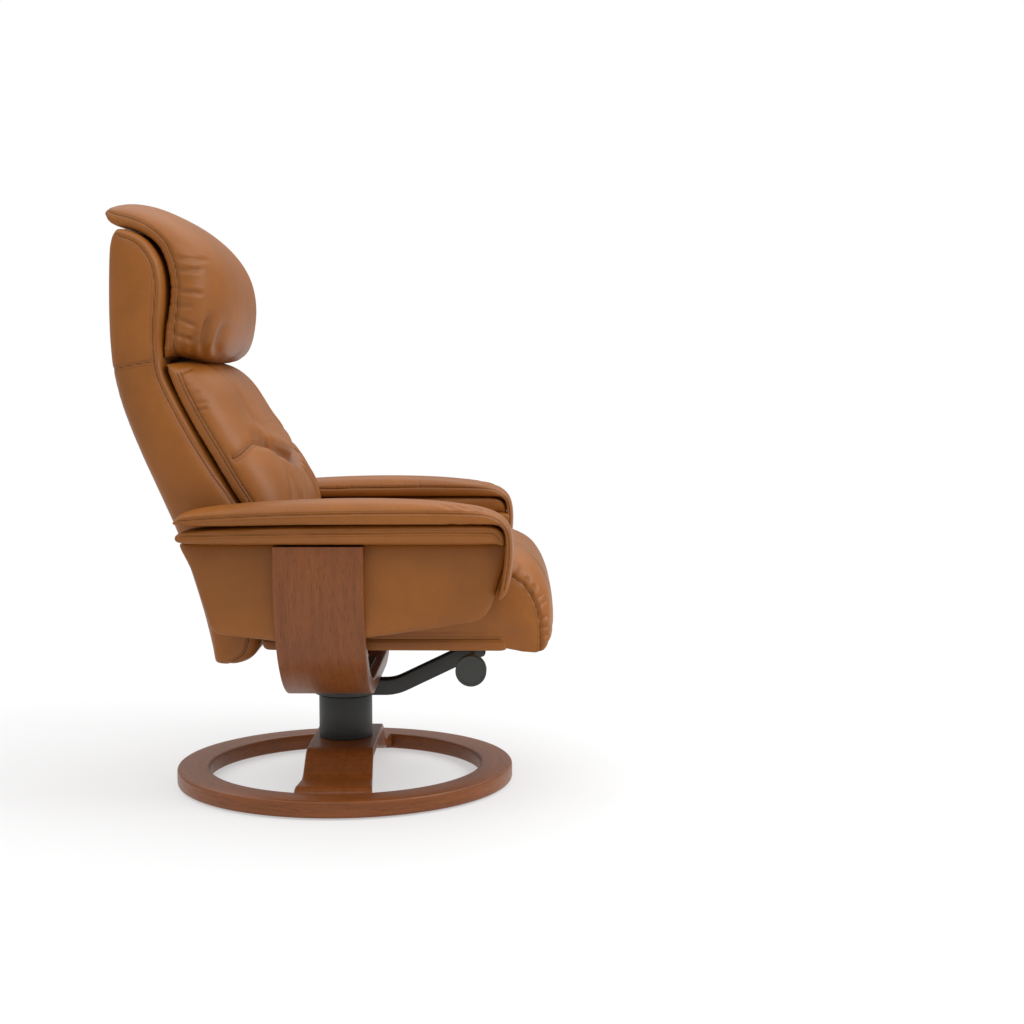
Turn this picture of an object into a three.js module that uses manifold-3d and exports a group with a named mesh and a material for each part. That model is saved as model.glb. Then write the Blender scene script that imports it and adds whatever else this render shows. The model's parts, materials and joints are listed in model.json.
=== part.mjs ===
// Swivel recliner armchair: ring base, bentwood U frame, steel support arm, gliding seat and hinged back.
// Millimetres, +Z up. The sitter faces -Y, their right hand is at -X. The swivel axis is the Z axis and
// the floor is at Z = 0. Side outlines are written as [forward, height], where forward = -Y.
import * as THREE from "three";
import { mergeVertices } from "three/addons/utils/BufferGeometryUtils.js";
import Module from "manifold-3d";

const wasm = await Module();
wasm.setup();

// ---- driving dimensions -------------------------------------------------------------------------
const GAP = 0.4; // between pieces that touch
const RUN = 1.5; // between pieces that slide or turn past each other

const ringRadius = 315;
const ringWidth = 60;
const ringHeight = 31;
const glideHeight = 2;
const glideRadius = 12;
const glideCount = 5;

const bridgeTop = 82; // height of the bridge's flat top
const bridgeThick = 18;
const bridgeWidth = 122; // at the column
const bridgeFootWidth = 140; // at the ring
const bridgeFlat = 105; // half length of the flat top

const columnRadius = 50;
const columnHeight = 80;
const columnWall = 3;
const bushRadius = 40;
const postRadius = 22;

const frameThick = 27;
const frameDepth = 152; // leg width, front to back
const frameBend = 235; // outer radius of the two bends
const frameBottom = 191; // underside of the U
const frameTop = 477; // top of the legs
const frameForward = -9; // centre of the legs, forward of the swivel axis

const channelHeight = 26; // support arm, a folded channel
const channelWidth = 38;
const channelWall = 4;
const riseStart = 92; // where the support arm starts to rise
const armEnd = 250; // its front end
const armEndLow = 240; // height of its underside there
const hubRadius = 58;
const plateThick = 5; // clamp plate on the U frame's bottom
const plateHalfWidth = 70;
const plateHalfDepth = 62;
const hubBolt = { x: 48, forward: 40, radius: 8, height: 6 };

const slideAngle = 6; // rise of the seat's glide line, degrees
const railForward = 205; // middle of the rail
const railLength = 150;
const railThick = 20;
const grooveDepth = 12;
const sliderThick = 9;
const sliderLength = 60;

const armThick = 62; // padded side, across the chair
const boardThick = 16; // plywood board inside it
const armTop = 513; // underside of the arm pad
const padThick = 40;
const padOverhang = 16; // pad and roll past the legs' outer faces
const padInset = 1.4; // pad and roll behind the padded side's inner face
const armFront = 313; // front of the arm pad
const rollHeight = 30;
const boltForward = 30; // arm bolts before and behind the leg's centre
const boltHeight = 440; // bolts that hold the padded side to the leg

const seatHalfWidth = 276;
const seatUnderside = 292;
const seatRear = -117;
const seatClearance = 3.6; // between the seat and each padded side
const coverWall = 22; // seat cover beside the plywood frame
const backHalfWidth = seatHalfWidth - 18;
const headHalfWidth = backHalfWidth - 10;
const shellWall = 13;
const frameHalfWidth = seatHalfWidth + seatClearance + armThick + GAP + frameThick; // legs' outer faces

const pivotForward = -150; // back hinge
const pivotHeight = 430;
const pinRadius = 7;
const headPivotForward = -354; // headrest hinge
const headPivotHeight = 778;
const strapOffset = backHalfWidth - 158; // headrest straps from the middle plane
const strapLow = 740;
const strapWidth = 26;
const strapDepth = 31;
const hingeBarRadius = 5;
const hingeBarHalf = 140;
const hoopRadius = 9; // steel hoop inside the back

const knobRadius = 27.5;
const knobWidth = 24;
const knobOut = 212; // outer face of each knob from the middle plane
const rodForward = 242;
const rodHeight = 241;
const rodRadius = 5;

// ---- materials ----------------------------------------------------------------------------------
const material = (color, roughness, metalness = 0) => () =>
  new THREE.MeshStandardMaterial({ color, roughness, metalness });
const leather = material(0xa5672f, 0.5);
const wood = material(0x6e3d24, 0.45);
const plywood = material(0xc9a877, 0.7);
const darkMetal = material(0x2f322e, 0.5, 0.3);
const steel = material(0xb8b8b4, 0.3, 1);
const plastic = material(0x1c1d1b, 0.5);
const webbing = material(0x3a3a38, 0.9);

// ---- helpers ------------------------------------------------------------------------------------
const chair = new THREE.Group();

function toSolid(geometry) {
  geometry.deleteAttribute("normal");
  geometry.deleteAttribute("uv");
  const merged = mergeVertices(geometry, 1e-3);
  const triVerts = new Uint32Array(merged.index.array);
  const vertProperties = merged.attributes.position.array;
  return new wasm.Manifold(new wasm.Mesh({ numProp: 3, vertProperties, triVerts }));
}

function add(name, shape, surface) {
  let geometry = shape;
  if (!shape.isBufferGeometry) {
    const found = shape.getMesh();
    geometry = new THREE.BufferGeometry();
    geometry.setAttribute("position", new THREE.BufferAttribute(found.vertProperties, 3));
    geometry.setIndex(new THREE.BufferAttribute(found.triVerts, 1));
    geometry.computeVertexNormals();
  }
  const mesh = new THREE.Mesh(geometry, surface());
  mesh.name = name;
  chair.add(mesh);
  return mesh;
}

// A polyline through corners [a, b, radius], each corner rounded by an arc of its radius.
function rounded(corners, closed = true) {
  const points = [];
  const count = corners.length;
  corners.forEach(([a, b, radius = 0], i) => {
    const here = new THREE.Vector2(a, b);
    if (!radius || (!closed && (i === 0 || i === count - 1))) {
      points.push(here);
      return;
    }
    const before = new THREE.Vector2(...corners[(i + count - 1) % count].slice(0, 2)).sub(here);
    const after = new THREE.Vector2(...corners[(i + 1) % count].slice(0, 2)).sub(here);
    const u = before.clone().normalize();
    const w = after.clone().normalize();
    const half = Math.acos(THREE.MathUtils.clamp(u.dot(w), -1, 1)) / 2;
    const reach = Math.min(radius / Math.tan(half), 0.49 * before.length(), 0.49 * after.length());
    const r = reach * Math.tan(half);
    const centre = here.clone().add(u.clone().add(w).normalize().multiplyScalar(r / Math.sin(half)));
    const from = here.clone().addScaledVector(u, reach).sub(centre);
    const turn = Math.PI - 2 * half;
    const sign = Math.sign(-u.cross(w)) || 1;
    const steps = Math.max(2, Math.ceil(turn / 0.3));
    for (let k = 0; k <= steps; k++) {
      const p = from.clone().rotateAround(new THREE.Vector2(), (sign * turn * k) / steps);
      points.push(p.add(centre));
    }
  });
  return points;
}

// A strip of even thickness along an open centre line with rounded corners.
function ribbon(corners, thickness) {
  const line = rounded(corners, false);
  const left = [];
  const right = [];
  line.forEach((p, i) => {
    const before = line[Math.max(i - 1, 0)];
    const after = line[Math.min(i + 1, line.length - 1)];
    const along = after.clone().sub(before).normalize();
    const side = new THREE.Vector2(-along.y, along.x).multiplyScalar(thickness / 2);
    left.push(p.clone().add(side));
    right.unshift(p.clone().sub(side));
  });
  return [...left, ...right];
}

// Points that lie on the straight line between their neighbours are left out of an outline.
const bends = (points) =>
  points.filter((p, i) => {
    const before = points[(i + points.length - 1) % points.length];
    const after = points[(i + 1) % points.length];
    const a = p.clone().sub(before);
    const b = after.clone().sub(p);
    return Math.abs(a.cross(b)) > 0.004 * (a.length() + b.length()) ** 1.2;
  });

function extrude(points, depth, round = 0, segments = 2) {
  return new THREE.ExtrudeGeometry(new THREE.Shape(bends(points)), {
    depth: depth - 2 * round,
    curveSegments: 1,
    bevelEnabled: round > 0,
    bevelThickness: round,
    bevelSize: round,
    bevelOffset: -round,
    bevelSegments: segments,
  }).translate(0, 0, round);
}

// Extrusion of a side outline [forward, height] between two X positions.
function sideways(points, xLow, xHigh, round = 0, segments = 2) {
  const turned = new THREE.Matrix4().makeBasis(
    new THREE.Vector3(0, -1, 0),
    new THREE.Vector3(0, 0, 1),
    new THREE.Vector3(-1, 0, 0),
  );
  return extrude(points, xHigh - xLow, round, segments).applyMatrix4(turned).translate(xHigh, 0, 0);
}

// Extrusion of a front outline [x, height] between two forward positions.
const frontal = (points, rear, front, round = 0) =>
  extrude(points, front - rear, round).rotateX(Math.PI / 2).translate(0, -rear, 0);

// Extrusion of a plan outline [x, forward] between two heights.
const upright = (points, low, high, round = 0) =>
  extrude(points.map((p) => new THREE.Vector2(p.x, -p.y)).reverse(), high - low, round).translate(0, 0, low);

const box = (x, forward, low, dx, dForward, dz) =>
  new THREE.BoxGeometry(dx, dForward, dz).translate(x, -forward, low + dz / 2);

const disc = (radius, low, high, sides = 32) =>
  new THREE.CylinderGeometry(radius, radius, high - low, sides)
    .rotateX(Math.PI / 2)
    .translate(0, 0, (low + high) / 2);

// A cylinder along X at a forward position and height.
const across = (radius, xLow, xHigh, forward, height, sides = 20) =>
  new THREE.CylinderGeometry(radius, radius, xHigh - xLow, sides)
    .rotateZ(Math.PI / 2)
    .translate((xLow + xHigh) / 2, -forward, height);

const tube = (outer, inner, low, high, sides = 36) =>
  toSolid(disc(outer, low, high, sides)).subtract(toSolid(disc(inner, low - 1, high + 1, sides)));

// A bar of round section along a smooth line of [x, forward, height] points.
function bar(points, radius, steps, closed = false) {
  const path = new THREE.CatmullRomCurve3(
    points.map(([x, forward, height]) => new THREE.Vector3(x, -forward, height)),
    closed,
    "centripetal",
  );
  const section = new THREE.Shape().absarc(0, 0, radius, 0, 2 * Math.PI);
  return new THREE.ExtrudeGeometry(section, { steps, extrudePath: path, curveSegments: 4 });
}

const sides = [
  ["right", -1],
  ["left", 1],
];
const span = (side, inner, outer) => (side < 0 ? [-outer, -inner] : [inner, outer]);

// ---- base ---------------------------------------------------------------------------------------
const ringInner = ringRadius - ringWidth;
const ringTop = glideHeight + ringHeight;
const tabBottom = glideHeight + 5;

function baseRing() {
  const profile = rounded([
    [ringInner, glideHeight + GAP, 2],
    [ringRadius, glideHeight + GAP, 2],
    [ringRadius, ringTop, 6],
    [ringInner, ringTop, 6],
  ]);
  const ring = new THREE.LatheGeometry([...profile, profile[0]], 60).rotateX(Math.PI / 2);
  add("base_ring", toSolid(ring), wood);
}

function glides() {
  for (let i = 0; i < glideCount; i++) {
    const turn = ((i + 0.25) / glideCount) * 2 * Math.PI;
    const middle = ringRadius - ringWidth / 2;
    const pad = disc(glideRadius, 0, glideHeight, 16);
    pad.translate(middle * Math.cos(turn), middle * Math.sin(turn), 0);
    add(`glide_${i + 1}`, pad, plastic);
  }
}

// Hat-shaped bentwood bridge: flat top, two curved legs, and a turned-down tab at each end.
function bridge() {
  const middle = bridgeTop - bridgeThick / 2;
  const tab = ringInner - bridgeThick / 2 - 7;
  const half = [
    [bridgeFlat + 16, middle, 34],
    [bridgeFlat + 52, 36, 40],
    [tab, 31, 12],
    [tab, tabBottom],
  ];
  const line = [...half.map(([x, z, r]) => [-x, z, r]).reverse(), ...half];
  const outline = ribbon(line, bridgeThick);
  const halfFoot = bridgeFootWidth / 2;
  const halfTop = bridgeWidth / 2;
  const plan = rounded([
    [-tab - 20, -halfFoot],
    [-tab + 10, -halfFoot, 60],
    [-bridgeFlat, -halfTop, 120],
    [bridgeFlat, -halfTop, 120],
    [tab - 10, -halfFoot, 60],
    [tab + 20, -halfFoot],
    [tab + 20, halfFoot],
    [tab - 10, halfFoot, 60],
    [bridgeFlat, halfTop, 120],
    [-bridgeFlat, halfTop, 120],
    [-tab + 10, halfFoot, 60],
    [-tab - 20, halfFoot],
  ]);
  const body = toSolid(frontal(outline, -halfFoot - 1, halfFoot + 1));
  const shaped = body.intersect(toSolid(upright(plan, 0, bridgeTop + 5)));
  const inside = toSolid(disc(ringInner - GAP, -1, bridgeTop + 6, 96));
  const postHole = toSolid(disc(postRadius + 1, bridgeTop - 40, bridgeTop + 5));
  add("bridge", shaped.intersect(inside).subtract(postHole), wood);
  bridgeScrews(tab);
}

// Button-head socket screws on the inner faces of the bridge's tabs.
function bridgeScrews(tab) {
  const face = tab - bridgeThick / 2;
  for (const [name, side] of sides) {
    for (const [place, forward] of [["rear", -1], ["front", 1]]) {
      const offset = forward * (bridgeFootWidth / 2 - 14);
      const head = across(4.5, ...span(side, face - 4, face - GAP), offset, tabBottom + 6, 12);
      add(`bridge_screw_${name}_${place}`, head, steel);
    }
  }
}

// Column cover, swivel bush inside it, and the turning post.
const columnTop = bridgeTop + columnHeight;
const hubLow = columnTop + 3;

function column() {
  add(
    "column_cover",
    tube(columnRadius, columnRadius - columnWall, bridgeTop + GAP, columnTop),
    darkMetal,
  );
  add("swivel_bush", tube(bushRadius, postRadius + GAP, bridgeTop + GAP, columnTop - 8), plastic);
  add("swivel_post", disc(postRadius, bridgeTop - 18, hubLow - GAP), steel);
}

// ---- carriage: U frame, hub and support arm ------------------------------------------------------
const legFront = frameForward + frameDepth / 2;
const legRear = frameForward - frameDepth / 2;
const channelLow = frameBottom - channelHeight - GAP;
const frameFloor = frameBottom + frameThick; // top of the U's bottom

// The U's section along its bent line, grown by a clearance on every face.
function uSection(clearance) {
  const x = frameHalfWidth - frameThick / 2;
  const z = frameBottom + frameThick / 2;
  const bend = frameBend - frameThick / 2;
  const line = [
    [-x, frameTop + clearance],
    [-x, z, bend],
    [x, z, bend],
    [x, frameTop + clearance],
  ];
  return ribbon(line, frameThick + 2 * clearance);
}

function uFrame() {
  add("u_frame", toSolid(frontal(uSection(0), legRear, legFront, 2.5)), wood);
  const plate = rounded([
    [-plateHalfWidth, frameForward - plateHalfDepth, 12],
    [plateHalfWidth, frameForward - plateHalfDepth, 12],
    [plateHalfWidth, frameForward + plateHalfDepth, 12],
    [-plateHalfWidth, frameForward + plateHalfDepth, 12],
  ]);
  const plateTop = frameFloor + plateThick;
  add("clamp_plate", upright(plate, frameFloor + GAP, plateTop), darkMetal);
  const corners = [[-1, -1], [1, -1], [-1, 1], [1, 1]];
  for (const [i, [right, ahead]] of corners.entries()) {
    const head = disc(hubBolt.radius, 0, hubBolt.height, 6);
    head.translate(right * hubBolt.x, -(frameForward + ahead * hubBolt.forward), plateTop + GAP);
    add(`hub_bolt_${i + 1}`, head, steel);
  }
}

// Folded channel from the hub, level under the U frame and then rising to the seat's front.
function supportArm() {
  const line = (lift) => [
    [-58, channelLow + lift],
    [riseStart, channelLow + lift, 70],
    [armEnd, armEndLow + lift],
  ];
  const depth = channelHeight;
  const low = rounded(line(0), false);
  const high = rounded(line(depth), false);
  const outline = [...low, ...high.reverse()];
  const half = channelWidth / 2;
  const trough = [...rounded(line(channelWall), false), ...rounded(line(depth + 40), false).reverse()];
  const outer = toSolid(sideways(outline, -half, half));
  const inner = toSolid(sideways(trough, -half + channelWall, half - channelWall));
  const hubRoom = toSolid(box(0, 0, channelLow - 5, 200, 2 * (hubRadius + 2 + GAP), 60));
  const rodHole = toSolid(across(rodRadius + GAP, -half - 5, half + 5, rodForward, rodHeight));
  const arm = outer.subtract(inner).subtract(hubRoom).subtract(rodHole);
  const keepFront = toSolid(box(0, 260, channelLow - 5, 200, 400, 160));
  add("support_arm", arm.intersect(keepFront), darkMetal);
  const hub = disc(hubRadius, hubLow, frameBottom - GAP);
  add("hub_casting", toSolid(hub), darkMetal);
}

// Head of the support arm: a cheek block held in the channel's end, and the nylon slider on its top
// that the seat's rail runs on. The glide line rises towards the front.
const railTop = seatUnderside - 8;
const glideLine = (forward) =>
  railTop + (forward - railForward) * Math.tan(THREE.MathUtils.degToRad(slideAngle));
const headTop = glideLine(rodForward) - (railThick - grooveDepth) - RUN - sliderThick - 4;
const headHalf = channelWidth / 2 - channelWall - GAP;

function armHead() {
  const floorAt = (forward) =>
    channelLow + ((forward - riseStart) * (armEndLow - channelLow)) / (armEnd - riseStart);
  const lift = channelWall + 2;
  const cheek = rounded([
    [214, floorAt(214) + lift, 2],
    [armEnd + 1, floorAt(armEnd + 1) + lift, 2],
    [armEnd + 1, 232, 2],
    [264, 236, 8],
    [268, headTop, 3],
    [214, headTop, 3],
  ]);
  const rodHole = toSolid(across(rodRadius + GAP, -40, 40, rodForward, rodHeight));
  const block = toSolid(sideways(cheek, -headHalf, headHalf));
  add("arm_head", block.subtract(rodHole), darkMetal);
  const slider = new THREE.BoxGeometry(2 * headHalf, sliderLength, sliderThick);
  slider.rotateX(THREE.MathUtils.degToRad(-slideAngle));
  const middle = glideLine(rodForward) - (railThick - grooveDepth) - RUN - sliderThick / 2;
  slider.translate(0, -rodForward, middle);
  add("slider_block", slider, plastic);
}

// ---- tension rod and knobs ----------------------------------------------------------------------
function tensionRod() {
  const inner = knobOut - knobWidth;
  add("tension_rod", across(rodRadius, -inner, inner, rodForward, rodHeight, 16), steel);
  for (const [name, side] of sides) {
    const [low, high] = span(side, inner + GAP, knobOut);
    const profile = rounded([
      [0, 0],
      [knobRadius, 0, 2],
      [knobRadius, knobWidth - GAP, 4],
      [0, knobWidth - GAP],
    ]);
    const knob = new THREE.LatheGeometry(profile, 32);
    knob.rotateZ(side < 0 ? Math.PI / 2 : -Math.PI / 2);
    knob.translate(side < 0 ? high : low, -rodForward, rodHeight);
    add(`tension_knob_${name}`, toSolid(knob), darkMetal);
  }
}

// ---- arms ---------------------------------------------------------------------------------------
const armOuter = frameHalfWidth - frameThick - GAP; // padded side meets the leg's inner face
const armInner = armOuter - armThick;
const padOuter = frameHalfWidth + padOverhang;
const padInner = armInner + padInset;
const rollLow = armTop - rollHeight - GAP;

const armPanelOutline = () =>
  rounded([
    [-250, rollLow, 6],
    [-226, 436, 120],
    [-192, 326, 26],
    [-70, 312, 160],
    [70, 319, 200],
    [276, 350, 46],
    [300, rollLow, 6],
  ]);

function arm(name, side) {
  const board = rounded([
    [-222, rollLow - 2, 4],
    [-180, 345, 20],
    [40, 338, 60],
    [262, 366, 30],
    [282, rollLow - 2, 4],
  ]);
  const middle = armInner + armThick / 2;
  const pin = toSolid(across(pinRadius + GAP, -500, 500, pivotForward, pivotHeight));
  const boardInner = middle - boardThick / 2;
  const core = sideways(board, ...span(side, boardInner, boardInner + boardThick));
  add(`arm_board_${name}`, toSolid(core).subtract(pin), plywood);
  const panel = armPanelOutline();
  const outer = sideways(panel, ...span(side, boardInner + boardThick + GAP, armOuter), 4);
  const legRoom = toSolid(frontal(uSection(GAP), legRear - 3, legFront + 3));
  add(`arm_side_${name}`, toSolid(outer).subtract(legRoom), leather);
  const inner = sideways(panel, ...span(side, armInner, boardInner - GAP), 4);
  let lining = toSolid(inner).subtract(pin);
  for (const [place, forward] of [["rear", -boltForward], ["front", boltForward]]) {
    const centre = [frameForward + forward, boltHeight];
    const headSpan = span(side, boardInner - 4, boardInner - GAP);
    add(`arm_bolt_${name}_${place}`, across(6, ...headSpan, ...centre, 6), steel);
    lining = lining.subtract(toSolid(across(7.5, ...span(side, boardInner - 4.5, middle), ...centre, 8)));
  }
  add(`arm_lining_${name}`, lining, leather);
  const roll = rounded([
    [-252, rollLow + 4, 8],
    [-238, armTop - 14, 14],
    [-90, armTop - 3, 200],
    [294, armTop, 14],
    [306, armTop - 14, 14],
    [306, rollLow, 8],
    [-238, rollLow, 10],
  ]);
  const rollSolid = sideways(roll, ...span(side, padInner + 6, padOuter - 8));
  const legTop = toSolid(box(0, frameForward, 0, 1200, frameDepth + 2, frameTop + 1));
  add(`arm_roll_${name}`, toSolid(rollSolid).subtract(legTop), leather);
  add(`arm_pad_${name}`, toSolid(armPad(side)), leather);
}

// The pad lies on the roll and wraps down over the arm's front.
function armPad(side) {
  const top = armTop + padThick;
  const outline = rounded([
    [-254, armTop - 2, 10],
    [-236, armTop + 20, 30],
    [-150, top - 4, 200],
    [60, top + 3, 400],
    [230, top - 3, 160],
    [300, top - 20, 26],
    [armFront, armTop - 20, 60],
    [306, 400, 40],
    [296, 384, 5],
    [290, 392, 3],
    [307, armTop - 30, 20],
    [306 + 1, armTop + 1, 12],
    [-90, armTop - 2, 200],
  ]);
  return sideways(outline, ...span(side, padInner, padOuter));
}

// ---- seat ---------------------------------------------------------------------------------------
function seat() {
  const half = seatHalfWidth;
  const frameMiddle = 105; // plywood frame under the cushion
  const frameLength = 360;
  const cushion = rounded([
    [seatRear + 34, seatUnderside + 52, 10],
    [seatRear + 64, 430, 16],
    [60, 452, 200],
    [250, 474, 120],
    [345, 458, 60],
    [388, 390, 60],
    [392, 300, 40],
    [364, 258, 14],
    [322, 272, 10],
    [312, seatUnderside + 52, 8],
  ]);
  add("seat_cushion", toSolid(sideways(cushion, -half, half, 6)), leather);
  const cover = rounded([
    [seatRear, seatUnderside - 4, 10],
    [306, seatUnderside - 6, 4],
    [306, seatUnderside + 50, 4],
    [seatRear, seatUnderside + 50, 10],
  ]);
  const inside = box(0, frameMiddle, seatUnderside - 30, 2 * (half - coverWall), frameLength, 150);
  add("seat_base", toSolid(sideways(cover, -half, half, 3)).subtract(toSolid(inside)), leather);
  const well = 2 * (half - coverWall - GAP);
  const frame = toSolid(box(0, frameMiddle, seatUnderside + 2, well, frameLength - 2 * GAP, 26));
  const frameOpening = toSolid(box(0, frameMiddle, seatUnderside, well - 60, frameLength - 70, 60));
  add("seat_frame", frame.subtract(frameOpening), plywood);
  const webbingLow = seatUnderside + 28 + GAP;
  add("seat_webbing", box(0, frameMiddle, webbingLow, well - 8, frameLength - 10, 6), webbing);
  const rail = new THREE.BoxGeometry(2 * headHalf + 17, railLength, railThick);
  const groove = new THREE.BoxGeometry(2 * headHalf + 2 * RUN, railLength + 5, grooveDepth);
  rail.translate(0, 0, -railThick / 2);
  groove.translate(0, 0, -railThick + grooveDepth / 2 - GAP / 4);
  const lying = toSolid(rail).subtract(toSolid(groove)).rotate([-slideAngle, 0, 0]);
  add("seat_rail", lying.translate([0, -railForward, railTop]), darkMetal);
}

// ---- back ---------------------------------------------------------------------------------------
const strapForward = headPivotForward + 15;
// Rear skin of the back, from the tail under the arms up to the headrest joint.
const shellRear = [
  [-199, 266],
  [-214, 340],
  [-266, 487],
  [-330, 628],
  [-366, 730],
  [-376, 772],
];
const gapLine = [
  [-286, 772],
  [-262, 720],
  [-212, 626],
  [-152, 530],
  [-120, 450],
  [-112, 380],
];

function back() {
  const half = backHalfWidth;
  const tail = [
    [-124, 300],
    [-134, 277],
    [-162, 267],
  ];
  const shell = [...shellRear, ...gapLine, ...tail].map(([a, b]) => new THREE.Vector2(a, b)).reverse();
  const room = rounded([
    [-172, 300, 10],
    [-196, 350, 20],
    [-248, 490, 40],
    [-312, 630, 40],
    [-352, 744, 10],
    [-292, 744, 10],
    [-276, 720, 30],
    [-226, 622, 30],
    [-166, 526, 30],
    [-134, 446, 20],
    [-134, 318, 10],
  ]);
  const outer = toSolid(sideways(shell, -half, half, 8));
  const cavity = toSolid(sideways(room, -half + shellWall, half - shellWall));
  const opening = toSolid(box(0, -160, 255, 240, 24, 70));
  const strapSlots = sides.map(([, direction]) => {
    const place = [direction * strapOffset, strapForward, strapLow - 8];
    return toSolid(box(...place, strapWidth + 8, strapDepth + 6, 60));
  });
  const pin = toSolid(across(pinRadius + GAP, -500, 500, pivotForward, pivotHeight));
  let shellBody = outer.subtract(cavity).subtract(opening).subtract(pin);
  strapSlots.forEach((slot) => (shellBody = shellBody.subtract(slot)));
  add("back_shell", shellBody, leather);
  const cushion = rounded([
    [-278, 764, 12],
    [-222, 768, 40],
    [-176, 742, 60],
    [-116, 655, 90],
    [-56, 590, 60],
    [-40, 510, 60],
    [-52, 448, 16],
    [-118, 448, 12],
    [-148, 530, 60],
    [-208, 628, 80],
    [-260, 722, 60],
  ]);
  add("back_cushion", toSolid(sideways(cushion, -half + 4, half - 4, 6)), leather);
  const side = half - shellWall - 24;
  const hoop = bar([
    [-side, -152, 330],
    [-side, pivotForward, pivotHeight],
    [-side, -238, 590],
    [-side, -300, 690],
    [-side + 40, -314, 718],
    [side - 40, -314, 718],
    [side, -300, 690],
    [side, -238, 590],
    [side, pivotForward, pivotHeight],
    [side, -152, 330],
  ], hoopRadius, 60);
  const solidHoop = toSolid(hoop).subtract(pin);
  add("back_frame", solidHoop, darkMetal);
  for (const [name, direction] of sides) {
    const rise = headPivotHeight - hingeBarRadius - 1 - strapLow;
    const strap = box(direction * strapOffset, strapForward, strapLow, strapWidth, strapDepth, rise);
    add(`head_strap_${name}`, strap, darkMetal);
    const pinSpan = span(direction, side + 10, armInner + (armThick + boardThick) / 2);
    add(`back_pivot_${name}`, across(pinRadius, ...pinSpan, pivotForward, pivotHeight), steel);
  }
}

// ---- headrest -----------------------------------------------------------------------------------
function headrest() {
  const half = headHalfWidth;
  const joint = 6.5; // room between the shells at the headrest hinge
  const shell = rounded([
    [-376, 772 + joint, 4],
    [-379, 860, 300],
    [-374, 1000, 20],
    [-362, 1016, 10],
    [-310, 1000, 50],
    [-284, 950, 60],
    [-279, 900, 80],
    [-288, 830, 80],
    [-288, 772 + joint + 3, 4],
  ]);
  const inner = rounded([
    [-362, 800, 6],
    [-364, 990, 12],
    [-322, 980, 30],
    [-298, 940, 40],
    [-298, 800, 6],
  ]);
  const cavity = toSolid(sideways(inner, -half + 14, half - 14));
  const slot = toSolid(box(0, strapForward - 6, 770, 300, 32, 60));
  add("head_shell", toSolid(sideways(shell, -half, half, 3)).subtract(cavity).subtract(slot), leather);
  const cushion = rounded([
    [-392, 1042, 4],
    [-374, 1062, 24],
    [-338, 1073, 40],
    [-262, 1042, 200],
    [-196, 985, 90],
    [-168, 900, 90],
    [-180, 822, 50],
    [-222, 786, 30],
    [-284 + GAP, 800, 20],
    [-277, 860, 60],
    [-276 + 2, 930, 80],
    [-290, 978, 50],
    [-330, 1018, 60],
    [-378, 1022, 10],
  ]);
  add("head_cushion", toSolid(sideways(cushion, -half, half, 3)), leather);
  const hinge = [headPivotForward, headPivotHeight];
  add("head_hinge_bar", across(hingeBarRadius, -hingeBarHalf, hingeBarHalf, ...hinge, 16), steel);
  add("head_plate", box(0, -330, 800, 280, 5, 150), darkMetal);
}

baseRing();
glides();
bridge();
column();
uFrame();
supportArm();
armHead();
tensionRod();
sides.forEach(([name, side]) => arm(name, side));
seat();
back();
headrest();

export default chair;
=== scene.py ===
"""Looks of a leather recliner armchair on a swivelling ring base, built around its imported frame."""
import json
import math

import bpy
import numpy as np
from bpy.props import FloatProperty, FloatVectorProperty, PointerProperty
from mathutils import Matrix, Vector


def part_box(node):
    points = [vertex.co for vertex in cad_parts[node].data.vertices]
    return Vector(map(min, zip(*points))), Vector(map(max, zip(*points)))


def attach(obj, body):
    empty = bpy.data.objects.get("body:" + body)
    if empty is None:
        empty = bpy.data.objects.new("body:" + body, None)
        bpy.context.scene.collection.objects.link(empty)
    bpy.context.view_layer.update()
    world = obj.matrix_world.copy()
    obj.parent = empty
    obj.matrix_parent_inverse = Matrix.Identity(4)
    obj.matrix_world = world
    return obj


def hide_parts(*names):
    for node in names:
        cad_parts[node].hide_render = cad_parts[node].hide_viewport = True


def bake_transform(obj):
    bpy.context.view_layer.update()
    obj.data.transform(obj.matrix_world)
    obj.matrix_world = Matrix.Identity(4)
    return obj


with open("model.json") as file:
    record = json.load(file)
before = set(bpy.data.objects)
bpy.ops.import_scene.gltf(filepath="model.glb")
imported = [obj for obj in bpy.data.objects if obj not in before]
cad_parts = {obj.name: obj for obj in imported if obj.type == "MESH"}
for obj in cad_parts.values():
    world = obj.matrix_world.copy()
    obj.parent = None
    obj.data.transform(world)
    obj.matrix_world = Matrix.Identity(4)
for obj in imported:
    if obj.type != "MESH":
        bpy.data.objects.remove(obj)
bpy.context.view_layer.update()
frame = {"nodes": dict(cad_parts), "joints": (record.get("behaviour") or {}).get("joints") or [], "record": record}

bl_info = {
    "name": "Recliner Armchair",
    "version": (1, 0, 0),
    "blender": (4, 5, 0),
    "location": "3D View > Sidebar > Recliner",
    "description": "Builds the upholstery, bentwood and metalwork of a swivel recliner",
    "category": "Add Mesh",
}

MM = 0.001
VENEER = 4.5 * MM  # thickness of the layers that the bentwood is glued up from
SIDES = (("right", -1), ("left", 1))


# ---- sizes and colours a user may change ---------------------------------------------------------
class UpholsterySettings(bpy.types.PropertyGroup):
    colour: FloatVectorProperty(
        name="Leather colour", description="Colour of the leather in even light",
        subtype="COLOR", default=(0.246, 0.079, 0.0095), min=0, max=1)
    voxel: FloatProperty(
        name="Foam detail", description="Edge length of the soft pieces' base mesh",
        subtype="DISTANCE", unit="LENGTH", default=5.5 * MM, min=4 * MM, max=12 * MM)
    swell: FloatProperty(
        name="Foam pressure", description="Pressure that fills the cushions", default=4.0, min=0, max=10)


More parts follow.
